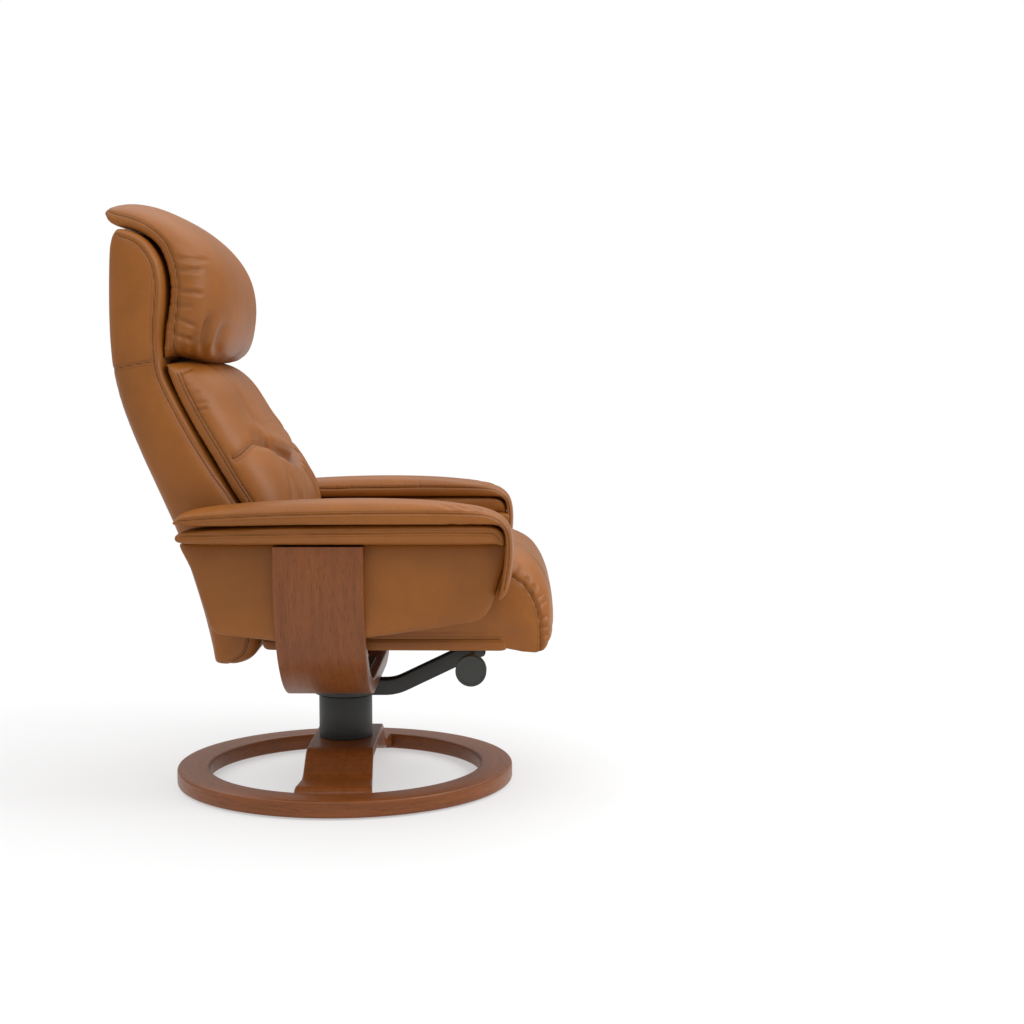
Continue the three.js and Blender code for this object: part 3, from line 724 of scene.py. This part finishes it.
class RECLINER_OT_shell(bpy.types.Operator):
    """Builds the leather shell behind the back and headrest, with a seam across it at the headrest hinge"""

    bl_idname = "recliner.shell"
    bl_label = "Back shell"

    def execute(self, context):
        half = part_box("back_shell")[1].x
        piece = loft("back_shell_cover", SHELL_REAR, SHELL_FRONT, 0, half, 1.0, 3.0, rows=110, slices=40)
        self.round_sides(piece, half)
        remesh(piece, smooth=6)
        swell(piece, 4 * MM, pressure=0.5, frames=8)
        refine(piece)
        s = Seams(piece)
        outside = np.abs(s.co[:, 0]) > half - 0.03
        edge = [(-0.151, 0.490), (-0.169, 0.543), (-0.203, 0.592), (-0.247, 0.664), (-0.292, 0.753),
                (-0.300, 0.800), (-0.300, 0.850), (-0.296, 0.900), (-0.297, 0.930), (-0.306, 0.962),
                (-0.328, 0.988), (-0.358, 1.000)]
        s.side_seam(edge, outside, depth=0.0018, width=0.004)
        hinge = frame_joint("headrest_tilt")
        level = s.side[:, 1] - (hinge.z - 0.006) - 0.18 * (s.side[:, 0] + 0.376)
        s.across_seam(level, s.side[:, 0] + s.co[:, 0], s.side[:, 0] < -0.302, depth=0.0012, width=0.004)
        rear = line_distance(s.side, through(SHELL_REAR, 60))[0] < 0.02
        from_piping = np.abs(s.co[:, 0]) - (half - 0.052)
        s.across_seam(from_piping, s.side[:, 1], rear & (s.side[:, 1] > 0.3), depth=0.0020, width=0.005)
        tail = s.side[:, 1] < 0.34
        hem = [(-0.178, 0.260), (-0.151, 0.280), (-0.140, 0.313)]
        s.side_seam(hem, outside & tail, depth=0.0015, width=0.003)
        s.finish()
        dress(piece, "leather", None, ["back_shell", "head_shell"])
        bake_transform(piece)
        return {"FINISHED"}

    @staticmethod
    def round_sides(piece, half):
        """Draws the rims in towards the middle of the shell's thickness near its two sides."""
        co = points_of(piece)
        radius = 0.022
        out = np.clip((np.abs(co[:, 0]) - (half - radius)) / radius, 0, 1)
        rear = through(SHELL_REAR, 220)
        front = through(SHELL_FRONT, 220)
        middle = (rear + front) / 2
        side = forward_height(co)
        nearest = np.array([middle[np.argmin(((middle - p) ** 2).sum(1))] for p in side])
        inward = nearest - side
        size = np.maximum(np.linalg.norm(inward, axis=1), 1e-6)
        shift = radius * (1 - np.sqrt(np.maximum(0, 1 - out ** 2)))
        moved = side + inward / size[:, None] * np.minimum(shift, size * 0.8)[:, None]
        co[:, 1] = -moved[:, 0]
        co[:, 2] = moved[:, 1]
        place_points(piece, co)


def frame_joint(name):
    found = next(j for j in frame["joints"] if j["name"] == name)
    return Vector(found["pos_m"])


# ---- seat -----------------------------------------------------------------------------------------
SEAT_UNDER = [(-0.079, 0.330), (-0.060, 0.314), (0.020, 0.309), (0.150, 0.307), (0.240, 0.305),
              (0.284, 0.300), (0.304, 0.290), (0.330, 0.2855), (0.363, 0.2815)]
SEAT_TOP = [(-0.079, 0.330), (-0.070, 0.385), (-0.046, 0.424), (0.030, 0.442), (0.140, 0.460), (0.240, 0.468),
            (0.300, 0.464), (0.345, 0.446), (0.371, 0.414), (0.385, 0.375), (0.388, 0.338), (0.384, 0.304),
            (0.363, 0.2815)]


class RECLINER_OT_seat(bpy.types.Operator):
    """Builds the seat cushion with its rolled front, and the piped cover under it"""

    bl_idname = "recliner.seat"
    bl_label = "Seat"

    def execute(self, context):
        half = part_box("seat_cushion")[1].x - 2 * MM
        piece = loft("seat_cushion_cover", SEAT_UNDER, SEAT_TOP, 0, half, 0.76, 7.0, rows=72)
        remesh(piece, voxel=6.5 * MM)
        co = points_of(piece)
        side = forward_height(co)
        under, _ = line_distance(side, through(SEAT_UNDER, 60))
        channel = (np.abs(np.abs(co[:, 0]) - PANEL_HALF - 0.03) < 0.006) & (under > 0.04)
        swell(piece, 9 * MM, held=(under < 0.012) | channel, pressure=0.9)
        refine(piece)
        s = Seams(piece)
        x = np.abs(s.co[:, 0])
        outside = x > half - 0.035
        arc = [(0.100, 0.436), (0.200, 0.440), (0.262, 0.436), (0.309, 0.419), (0.338, 0.398), (0.356, 0.365),
               (0.363, 0.325), (0.362, 0.272)]
        line = s.side_seam(arc, outside, depth=0.0016, width=0.004)
        s.gather(line[38:], outside, 21, spacing=0.019, reach=0.028, depth=0.0028, width=0.0038, lean=-0.25,
                 side=-1)
        top = line_distance(s.side, through(SEAT_UNDER, 60))[0] > 0.035
        s.across_seam(x - PANEL_HALF - 0.03, s.side[:, 0] + s.side[:, 1], top, depth=0.0050, width=0.011)
        front = (s.side[:, 0] > 0.36) & (x < half - 0.02)
        s.across_seam(s.side[:, 1] - 0.322, s.co[:, 0], front, depth=0.0012, width=0.004)
        plan = np.column_stack([s.co[:, 0], s.side[:, 0]])
        for a, b in (((0.06, 0.35), (0.13, 0.27)), ((-0.06, 0.35), (-0.13, 0.27)),
                     ((0.20, 0.34), (0.255, 0.25)), ((-0.20, 0.34), (-0.255, 0.25)),
                     ((0.10, 0.03), (0.02, 0.08)), ((-0.12, 0.02), (-0.03, 0.06))):
            s.dent(a, b, 0.0026, 0.010, top & (s.side[:, 1] > 0.42), plane=plan)
        s.finish()
        dress(piece, "leather", "seat", ["seat_cushion"])
        self.cover(half)
        return {"FINISHED"}

    @staticmethod
    def cover(half):
        piece = copy_of("seat_base_cover", "seat_base")
        remesh(piece, voxel=5.0 * MM, smooth=5)
        refine(piece)
        s = Seams(piece)
        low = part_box("seat_base")[0].z
        beside = np.abs(s.co[:, 0]) > half - 0.04
        above = s.side[:, 1] - (low + 0.022)
        s.across_seam(above, s.side[:, 0] + s.co[:, 0], beside, depth=0.0018, width=0.004)
        s.finish()
        dress(piece, "leather", "seat", ["seat_base"])
        rear = -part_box("seat_base")[1].y
        for name, side in SIDES:
            x = side * (half - 0.002)
            path = [(x, rear + 0.012 + 0.02 * k, low + 0.0205) for k in range(24)]
            tube_along(f"seat_piping_{name}", path, 2.2 * MM, "seat")


# ---- arms -----------------------------------------------------------------------------------------
PAD_UNDER = [(-0.252, 0.514), (-0.180, 0.512), (-0.040, 0.5145), (0.120, 0.5155), (0.270, 0.5155),
             (0.296, 0.511), (0.3035, 0.490), (0.3015, 0.450), (0.296, 0.412), (0.290, 0.388)]
PAD_TOP = [(-0.252, 0.514), (-0.240, 0.530), (-0.200, 0.540), (-0.110, 0.547), (0.040, 0.5525),
           (0.170, 0.5515), (0.250, 0.543), (0.292, 0.530), (0.312, 0.508), (0.3175, 0.470),
           (0.3135, 0.425), (0.304, 0.394),
           (0.290, 0.386)]
ROLL_UNDER = [(-0.249, 0.490), (-0.230, 0.4830), (-0.090, 0.4825), (0.120, 0.4825), (0.262, 0.4825),
              (0.290, 0.4815), (0.3025, 0.476)]
ROLL_TOP = [(-0.249, 0.490), (-0.240, 0.500), (-0.200, 0.5055), (-0.070, 0.5115), (0.120, 0.5145),
            (0.258, 0.5145), (0.288, 0.5110), (0.3015, 0.500), (0.3040, 0.486), (0.3025, 0.476)]
PANEL_FIXED = 0.15  # forward of here the padded side is drawn out to meet the pad
PANEL_REACH = 0.3135  # where the padded side ends, behind the pad's turned down front
PANEL_LEAN = 0.13  # how much its front edge draws back for each metre down


class RECLINER_OT_arms(bpy.types.Operator):
    """Builds both arms: pad, roll, padded side and lining"""

    bl_idname = "recliner.arms"
    bl_label = "Arms"

    def execute(self, context):
        for name, side in SIDES:
            self.pad(name, side)
            self.roll(name, side)
            self.panel(name, side)
        return {"FINISHED"}

    def pad(self, name, side):
        low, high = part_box(f"arm_pad_{name}")
        centre = (low.x + high.x) / 2
        half = (high.x - low.x) / 2 - 1 * MM
        piece = loft(f"arm_pad_cover_{name}", PAD_UNDER, PAD_TOP, centre, half, 0.60, 2.8, corner=0.12,
                     rows=90, slices=30)
        remesh(piece, voxel=4.0 * MM, smooth=5)
        co = points_of(piece)
        under, _ = line_distance(forward_height(co), through(PAD_UNDER, 60))
        swell(piece, 4 * MM, held=under < 0.006, pressure=0.8, frames=10)
        refine(piece)
        s = Seams(piece)
        rim = np.abs(s.co[:, 0] - centre) > half - 0.012
        welt = [(-0.240, 0.5210), (-0.160, 0.5270), (-0.040, 0.5320), (0.120, 0.5345), (0.230, 0.5335),
                (0.276, 0.5300), (0.300, 0.5160), (0.3095, 0.4900), (0.3085, 0.450), (0.301, 0.405)]
        line = s.side_seam(welt, rim, depth=0.0014, width=0.0035)
        crown = np.column_stack([s.side[:, 0], (s.co[:, 0] - centre) * side])
        for a, b, depth in (((0.250, 0.045), (0.205, 0.020), 0.0022),
                            ((0.272, 0.040), (0.238, 0.008), 0.0028),
                            ((0.290, 0.030), (0.262, -0.010), 0.0026),
                            ((0.224, 0.046), (0.186, 0.030), 0.0016),
                            ((0.285, -0.02), (0.24, -0.035), 0.0018)):
            s.dent(a, b, depth, 0.0050, s.side[:, 1] > 0.515, plane=crown)
        s.gather(line[4:60], rim, 31, spacing=0.045, reach=0.012, depth=0.0008, width=0.003, side=-1)
        s.finish()
        dress(piece, "leather", "carriage", [f"arm_pad_{name}"])

    def roll(self, name, side):
        low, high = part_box(f"arm_roll_{name}")
        centre = (low.x + high.x) / 2
        half = (high.x - low.x) / 2 + 1 * MM
        piece = loft(f"arm_roll_cover_{name}", ROLL_UNDER, ROLL_TOP, centre, half, 0.86, 3.4, corner=0.12,
                     rows=80, slices=30)
        remesh(piece, voxel=4.0 * MM, smooth=4)
        swell(piece, 3 * MM, pressure=0.6, frames=8)
        refine(piece)
        s = Seams(piece)
        rim = (s.co[:, 0] - centre) * side > half - 0.014
        s.side_seam([(-0.236, 0.4955), (-0.10, 0.4985), (0.120, 0.5010), (0.265, 0.5010), (0.286, 0.498),
                     (0.2950, 0.490)], rim, depth=0.0010, width=0.0030)
        s.finish()
        dress(piece, "leather", "carriage", [f"arm_roll_{name}"])

    def panel(self, name, side):
        """The padded side: outer and inner leather over the board, joined into one cover."""
        inner = copy_of("lining_part", f"arm_lining_{name}")
        middle = copy_of("middle_part", f"arm_lining_{name}")
        piece = copy_of(f"arm_side_cover_{name}", f"arm_side_{name}")
        place_points(middle, points_of(middle) + np.array([side * 18 * MM, 0, 0]))
        only(piece)
        for part in (inner, middle):
            part.select_set(True)
        bpy.ops.object.join()
        co = points_of(piece)
        front = -co[:, 1].min()
        ahead = np.clip((-co[:, 1] - PANEL_FIXED) / (front - PANEL_FIXED), 0, 1)
        reach = PANEL_REACH - PANEL_LEAN * np.clip(0.48 - co[:, 2], 0, 0.1)
        co[:, 1] -= ahead * (reach - front)
        place_points(piece, co)
        remesh(piece, voxel=5.0 * MM, smooth=8)
        swell(piece, 2.5 * MM, pressure=0.3, frames=6)
        refine(piece)
        s = Seams(piece)
        edge = np.abs(np.abs(s.co[:, 0]) - abs(self.middle_of(name)) - 16 * MM)
        below = s.side[:, 1] < 0.47
        s.sew(edge, s.side[:, 0] + s.side[:, 1], below, depth=0.0012, width=0.003)
        s.finish()
        dress(piece, "leather", "carriage", [f"arm_side_{name}", f"arm_lining_{name}"])

    @staticmethod
    def middle_of(name):
        low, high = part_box(f"arm_board_{name}")
        return (low.x + high.x) / 2


# ---- bentwood -------------------------------------------------------------------------------------
BRIDGE_HALF = 61 * MM  # half width of the bridge in its middle
BRIDGE_FOOT = 69 * MM  # and where it meets the ring


def store_grain(piece, along, across, through_wood):
    attribute = piece.data.attributes.new("grain", "FLOAT_VECTOR", "POINT")
    values = np.column_stack([along, across, through_wood]).astype(np.float32)
    attribute.data.foreach_set("vector", values.ravel())


def section(name, centre, width, depth, plane_turn, bevel):
    """A rectangle with rounded corners, left in edit mode as an open loop with all of it selected."""
    bpy.ops.object.select_all(action="DESELECT")
    bpy.ops.mesh.primitive_plane_add(size=1, location=centre, rotation=plane_turn)
    piece = bpy.context.object
    piece.name = name
    piece.scale = (width, depth, 1)
    bpy.ops.object.transform_apply(location=True, rotation=True, scale=True)
    bpy.ops.object.mode_set(mode="EDIT")
    bpy.ops.mesh.select_all(action="SELECT")
    bpy.ops.mesh.bevel(offset=bevel, segments=4, affect="VERTICES")
    bpy.ops.mesh.select_all(action="SELECT")
    bpy.ops.mesh.delete(type="ONLY_FACE")
    bpy.ops.mesh.select_all(action="SELECT")
    return piece


def straight(offset, steps=1):
    for _ in range(steps):
        bpy.ops.mesh.extrude_region_move(TRANSFORM_OT_translate={"value": tuple(c / steps for c in offset)})


def turn(angle, centre, axis, steps):
    """Sweeps the selected edges round an axis, anticlockwise as seen looking back along it."""
    bpy.ops.mesh.spin(steps=steps, dupli=False, angle=-angle, center=centre, axis=axis)


def close_up(piece):
    """Fills open ends, merges doubles and turns the faces out."""
    bpy.ops.mesh.select_all(action="SELECT")
    bpy.ops.mesh.remove_doubles(threshold=1e-5)
    bpy.ops.mesh.select_all(action="DESELECT")
    bpy.ops.mesh.select_non_manifold()
    bpy.ops.mesh.edge_face_add()
    bpy.ops.mesh.select_all(action="SELECT")
    bpy.ops.mesh.normals_make_consistent(inside=False)
    bpy.ops.object.mode_set(mode="OBJECT")
    piece.data.name = piece.name


class RECLINER_OT_timber(bpy.types.Operator):
    """Builds the ring, the bridge and the U frame in stained bentwood"""

    bl_idname = "recliner.timber"
    bl_label = "Bentwood"

    def execute(self, context):
        self.ring()
        self.frame_u()
        self.bridge()
        return {"FINISHED"}

    def ring(self):
        low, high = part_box("base_ring")
        outer = high.x
        width = 60 * MM
        middle = outer - width / 2
        piece = section("ring_of_bentwood", (middle, 0, (low.z + high.z) / 2), width, high.z - low.z,
                        (math.pi / 2, 0, 0), bpy.context.scene.timber.ring_round)
        turn(2 * math.pi, (0, 0, 0), (0, 0, 1), 160)
        bpy.ops.mesh.select_all(action="SELECT")
        bpy.ops.mesh.remove_doubles(threshold=1e-5)
        bpy.ops.mesh.normals_make_consistent(inside=False)
        bpy.ops.object.mode_set(mode="OBJECT")
        co = points_of(piece)
        round_ring = np.abs(np.arctan2(co[:, 0], co[:, 1])) * middle
        store_grain(piece, round_ring, np.hypot(co[:, 0], co[:, 1]), co[:, 2])
        dress(piece, "stained_wood", "base", ["base_ring"], angle=35)

    def frame_u(self):
        low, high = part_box("u_frame")
        thick = 27 * MM
        bend = 235 * MM - thick / 2
        x = high.x - thick / 2
        floor = low.z + thick / 2
        y = (low.y + high.y) / 2
        piece = section("u_frame_of_bentwood", (-x, y, high.z), thick, high.y - low.y, (0, 0, 0),
                        bpy.context.scene.timber.edge_round)
        straight((0, 0, -(high.z - floor - bend)), 6)
        turn(-math.pi / 2, (-x + bend, y, floor + bend), (0, 1, 0), 28)
        straight((2 * (x - bend), 0, 0), 10)
        turn(-math.pi / 2, (x - bend, y, floor + bend), (0, 1, 0), 28)
        straight((0, 0, high.z - floor - bend), 6)
        close_up(piece)
        co = points_of(piece)
        bent = np.clip(np.arctan2(floor + bend - co[:, 2], np.abs(co[:, 0]) - (x - bend)), 0, math.pi / 2)
        past_bend = bend * (math.pi / 2 - bent) + (x - bend)
        along = np.where(np.abs(co[:, 0]) > x - bend, past_bend, np.abs(co[:, 0]))
        along = along + np.maximum(co[:, 2] - floor - bend, 0)
        radius = np.hypot(np.abs(co[:, 0]) - (x - bend), co[:, 2] - floor - bend)
        store_grain(piece, along * np.sign(co[:, 0]), co[:, 1], radius)
        dress(piece, "stained_wood", "carriage", ["u_frame"], angle=35)

    def bridge(self):
        low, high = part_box("bridge")
        thick = 18 * MM
        top = high.z - thick / 2
        flat = 104 * MM  # half the level middle under the column
        slope = 32 * MM
        upper = 34 * MM  # bend radii, from the middle to the ring
        lower = 40 * MM
        last = 13 * MM
        lean = math.radians(44)
        across = Vector((math.sin(lean), 0, math.cos(lean)))
        piece = section("bridge_of_bentwood", (0, 0, top), thick, 2 * BRIDGE_HALF, (0, math.pi / 2, 0),
                        bpy.context.scene.timber.edge_round)
        straight((flat, 0, 0), 6)
        turn(lean, (flat, 0, top - upper), (0, 1, 0), 12)
        straight((slope * math.cos(lean), 0, -slope * math.sin(lean)), 3)
        corner = Vector((flat + upper * math.sin(lean) + slope * math.cos(lean), 0,
                         top - upper * (1 - math.cos(lean)) - slope * math.sin(lean)))
        turn(-lean, corner + lower * across, (0, 1, 0), 12)
        x = corner.x + lower * math.sin(lean)
        z = corner.z - lower * (1 - math.cos(lean))
        reach = high.x - thick / 2
        straight((reach - last - x, 0, 0), 3)
        turn(math.pi / 2, (reach - last, 0, z - last), (0, 1, 0), 8)
        straight((0, 0, low.z - (z - last)), 2)
        close_up(piece)
        modifier = piece.modifiers.new("other half", "MIRROR")
        modifier.use_axis = (True, False, False)
        modifier.use_clip = True
        apply_modifiers(piece)
        co = points_of(piece)
        flare = np.clip((np.abs(co[:, 0]) - 0.10) / 0.14, 0, 1)
        co[:, 1] *= 1 + (BRIDGE_FOOT / BRIDGE_HALF - 1) * flare ** 1.8
        place_points(piece, co)
        bpy.ops.object.mode_set(mode="EDIT")
        bpy.ops.mesh.select_all(action="SELECT")
        bpy.ops.mesh.normals_make_consistent(inside=False)
        bpy.ops.object.mode_set(mode="OBJECT")
        along = np.abs(co[:, 0]) + 0.8 * (top - co[:, 2])
        store_grain(piece, along * np.sign(co[:, 0]), co[:, 1], co[:, 2] + 0.3 * co[:, 0])
        dress(piece, "stained_wood", "base", ["bridge"], angle=35)


# ---- metalwork ------------------------------------------------------------------------------------
def cylinder(name, low, high, axis, radius, sides, **options):
    """A cylinder that fills a box along one axis, with its place in its mesh."""
    bpy.ops.object.select_all(action="DESELECT")
    bpy.ops.mesh.primitive_cylinder_add(vertices=sides, radius=radius, depth=(high - low)[axis],
                                        location=(low + high) / 2, **options)
    piece = bpy.context.object
    piece.name = name
    bpy.ops.object.transform_apply(location=True, rotation=True, scale=True)
    return piece


def select_end(piece, direction):
    """Leaves a piece in edit mode with only its flat end that faces along +X or -X selected."""
    bpy.ops.object.mode_set(mode="EDIT")
    bpy.ops.mesh.select_all(action="DESELECT")
    bpy.ops.object.mode_set(mode="OBJECT")
    for face in piece.data.polygons:
        face.select = len(face.vertices) > 10 and face.normal.x * direction > 0.9
    bpy.ops.object.mode_set(mode="EDIT")
    bpy.ops.mesh.select_mode(type="FACE")


def break_edges(piece, width, segments, sharp_only=True):
    """Rounds a piece's edges with an applied bevel."""
    edge = piece.modifiers.new("edge", "BEVEL")
    edge.width = width
    edge.segments = segments
    if sharp_only:
        edge.limit_method = "ANGLE"
    apply_modifiers(piece)


class RECLINER_OT_metalwork(bpy.types.Operator):
    """Builds the column cover, support arm, knobs and screws, and finishes the hidden hardware"""

    bl_idname = "recliner.metalwork"
    bl_label = "Metalwork"

    def execute(self, context):
        self.column()
        self.arm()
        self.knobs()
        self.screws()
        self.hidden()
        return {"FINISHED"}

    def column(self):
        low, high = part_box("column_cover")
        piece = cylinder("column_tube", low, high, 2, high.x, 96, end_fill_type="NOTHING")
        wall = piece.modifiers.new("wall", "SOLIDIFY")
        wall.thickness = 3 * MM
        wall.offset = -1
        break_edges(piece, 0.8 * MM, 2, sharp_only=False)
        dress(piece, "dark_metal", "base", ["column_cover"], angle=35)

    def arm(self):
        low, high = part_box("support_arm")
        half = high.x
        tall = 26 * MM
        start = Vector((0, high.y + 14 * MM, low.z))
        knee = 92 * MM  # forward place of the bend
        rise = math.radians(25.5)
        radius = 70 * MM
        bpy.ops.object.select_all(action="DESELECT")
        bpy.ops.mesh.primitive_plane_add(size=1, location=(0, start.y, start.z + tall / 2),
                                         rotation=(math.pi / 2, 0, 0))
        piece = bpy.context.object
        piece.name = "support_arm_channel"
        piece.scale = (2 * half, tall, 1)
        bpy.ops.object.transform_apply(location=True, rotation=True, scale=True)
        bpy.ops.object.mode_set(mode="EDIT")
        bpy.ops.mesh.select_all(action="DESELECT")
        bpy.ops.object.mode_set(mode="OBJECT")
        for edge in piece.data.edges:
            heights = [piece.data.vertices[i].co.z for i in edge.vertices]
            edge.select = min(heights) > start.z + tall / 2
        bpy.ops.object.mode_set(mode="EDIT")
        bpy.ops.mesh.select_mode(type="EDGE")
        bpy.ops.mesh.delete(type="EDGE")
        bpy.ops.mesh.select_all(action="SELECT")
        bend = radius * math.tan(rise / 2)
        straight((0, -(knee + start.y - bend), 0), 4)
        turn(-rise, (0, -(knee - bend), start.z + tall + radius), (1, 0, 0), 10)
        length = (-low.y - knee) / math.cos(rise) - bend
        straight((0, -length * math.cos(rise), length * math.sin(rise)), 3)
        bpy.ops.mesh.select_all(action="SELECT")
        bpy.ops.mesh.remove_doubles(threshold=1e-5)
        bpy.ops.mesh.normals_make_consistent(inside=False)
        bpy.ops.object.mode_set(mode="OBJECT")
        wall = piece.modifiers.new("wall", "SOLIDIFY")
        wall.thickness = 4 * MM
        wall.offset = 0
        wall.use_even_offset = True
        break_edges(piece, 1.2 * MM, 3, sharp_only=False)
        dress(piece, "dark_metal", "carriage", ["support_arm"], angle=35)

    def knobs(self):
        for name, side in SIDES:
            low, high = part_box(f"tension_knob_{name}")
            piece = cylinder(f"knob_{name}", low, high, 0, (high.z - low.z) / 2, 72,
                             rotation=(0, math.pi / 2, 0))
            select_end(piece, side)
            bpy.ops.mesh.inset(thickness=4 * MM)
            bpy.ops.mesh.inset(thickness=1.2 * MM, depth=-1.2 * MM)
            bpy.ops.object.mode_set(mode="OBJECT")
            break_edges(piece, 2.2 * MM, 4)
            dress(piece, "black_knob", "tension", [f"tension_knob_{name}"], angle=35)

    def screws(self):
        for name, side in SIDES:
            for place in ("rear", "front"):
                low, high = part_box(f"bridge_screw_{name}_{place}")
                piece = cylinder(f"button_screw_{name}_{place}", low, high, 0, (high.z - low.z) / 2, 32,
                                 rotation=(0, math.pi / 2, 0))
                select_end(piece, -side)
                bpy.ops.mesh.inset(thickness=2.2 * MM)
                bpy.ops.mesh.inset(thickness=0.1 * MM, depth=-1.6 * MM)
                bpy.ops.object.mode_set(mode="OBJECT")
                break_edges(piece, 1.1 * MM, 3)
                dress(piece, "bright_steel", "base", [f"bridge_screw_{name}_{place}"], angle=35)

    def hidden(self):
        """CAD nodes that keep their own shape get their finish."""
        slots = {part["node"]: part["material_slot"] for part in frame["record"]["subparts"]}
        for node, piece in frame["nodes"].items():
            if piece.hide_render:
                continue
            for slot in piece.material_slots:
                slot.material = finishes()[slots[node]]


# ---- studio ---------------------------------------------------------------------------------------
class RECLINER_OT_studio(bpy.types.Operator):
    """Builds the floor, lights and camera"""

    bl_idname = "recliner.studio"
    bl_label = "Studio"

    def execute(self, context):
        scene = context.scene
        scene.view_settings.view_transform = "Standard"
        world = bpy.data.worlds.new("studio")
        scene.world = world
        world.use_nodes = True
        tree = world.node_tree
        background = tree.nodes["Background"]
        background.inputs["Color"].default_value = (1, 1, 1, 1)
        background.inputs["Strength"].default_value = scene.studio.brightness
        backdrop = tree.nodes.new("ShaderNodeBackground")
        backdrop.inputs["Color"].default_value = (1, 1, 1, 1)
        seen = tree.nodes.new("ShaderNodeLightPath")
        choose = tree.nodes.new("ShaderNodeMixShader")
        tree.links.new(seen.outputs["Is Camera Ray"], choose.inputs[0])
        tree.links.new(background.outputs[0], choose.inputs[1])
        tree.links.new(backdrop.outputs[0], choose.inputs[2])
        tree.links.new(choose.outputs[0], tree.nodes["World Output"].inputs[0])
        bpy.ops.object.select_all(action="DESELECT")
        bpy.ops.mesh.primitive_plane_add(size=60, location=(0, 0, -0.0005))
        floor = bpy.context.object
        floor.name = "floor"
        m = Nodes("pale floor", (0.38, 0.38, 0.38), 0.9)
        place = m.add("TexCoord").outputs["Object"]
        mottle = m.add("TexNoise", {"Vector": place, "Scale": 2.0, "Detail": 2.0}).outputs["Fac"]
        m.link(m.mix(mottle, (0.375, 0.375, 0.375, 1), (0.385, 0.385, 0.385, 1)), "Base Color")
        m.shader.inputs["Specular IOR Level"].default_value = 0.0
        m.shader.inputs["Emission Color"].default_value = (1, 1, 1, 1)
        m.shader.inputs["Emission Strength"].default_value = 0.476
        floor.data.materials.append(m.material)
        self.softbox("front_high", (-0.9, -2.6, 2.3), (0.0, 0.0, 0.7), 1.6, scene.studio.key_power)
        sky = bpy.data.lights.new("sky", "SUN")
        sky.energy = 3.0
        sky.angle = math.radians(120)
        scene.collection.objects.link(bpy.data.objects.new("sky", sky))
        camera = bpy.data.objects.new("camera", bpy.data.cameras.new("camera"))
        scene.collection.objects.link(camera)
        camera.location = (-3.190, -0.3146, 0.7597)
        camera.rotation_euler = (math.radians(85.46), 0, math.radians(-90))
        camera.data.sensor_width = 36
        camera.data.lens = 59.95
        scene.camera = camera
        return {"FINISHED"}

    @staticmethod
    def softbox(name, location, target, size, power):
        light = bpy.data.lights.new(name, "AREA")
        light.shape = "SQUARE"
        light.size = size
        light.energy = power
        lamp = bpy.data.objects.new(name, light)
        bpy.context.scene.collection.objects.link(lamp)
        lamp.location = location
        aim = Vector(target) - Vector(location)
        lamp.rotation_euler = aim.to_track_quat("-Z", "Y").to_euler()


class RECLINER_PT_panel(bpy.types.Panel):
    """Lists the recliner's pieces in the sidebar"""

    bl_idname = "RECLINER_PT_panel"
    bl_label = "Recliner"
    bl_space_type = "VIEW_3D"
    bl_region_type = "UI"
    bl_category = "Recliner"

    def draw(self, context):
        layout = self.layout
        for name in SETTINGS:
            group = getattr(context.scene, name)
            for key in group.__annotations__:
                layout.prop(group, key)
        for step in STEPS:
            layout.operator(step.bl_idname)


SETTINGS = {
    "upholstery": UpholsterySettings,
    "timber": TimberSettings,
    "metalwork": MetalSettings,
    "studio": StudioSettings,
}
STEPS = (
    RECLINER_OT_studio,
    RECLINER_OT_headrest,
    RECLINER_OT_back,
    RECLINER_OT_shell,
    RECLINER_OT_seat,
    RECLINER_OT_arms,
    RECLINER_OT_timber,
    RECLINER_OT_metalwork,
)
CLASSES = (*SETTINGS.values(), *STEPS, RECLINER_PT_panel)


def register():
    for cls in CLASSES:
        bpy.utils.register_class(cls)
    for key, group in SETTINGS.items():
        setattr(bpy.types.Scene, key, PointerProperty(type=group))


def unregister():
    for key in SETTINGS:
        delattr(bpy.types.Scene, key)
    for cls in reversed(CLASSES):
        bpy.utils.unregister_class(cls)


def main():
    register()
    for step in STEPS:
        group, name = step.bl_idname.split(".")
        getattr(getattr(bpy.ops, group), name)()


if __name__ == "__main__":
    main()
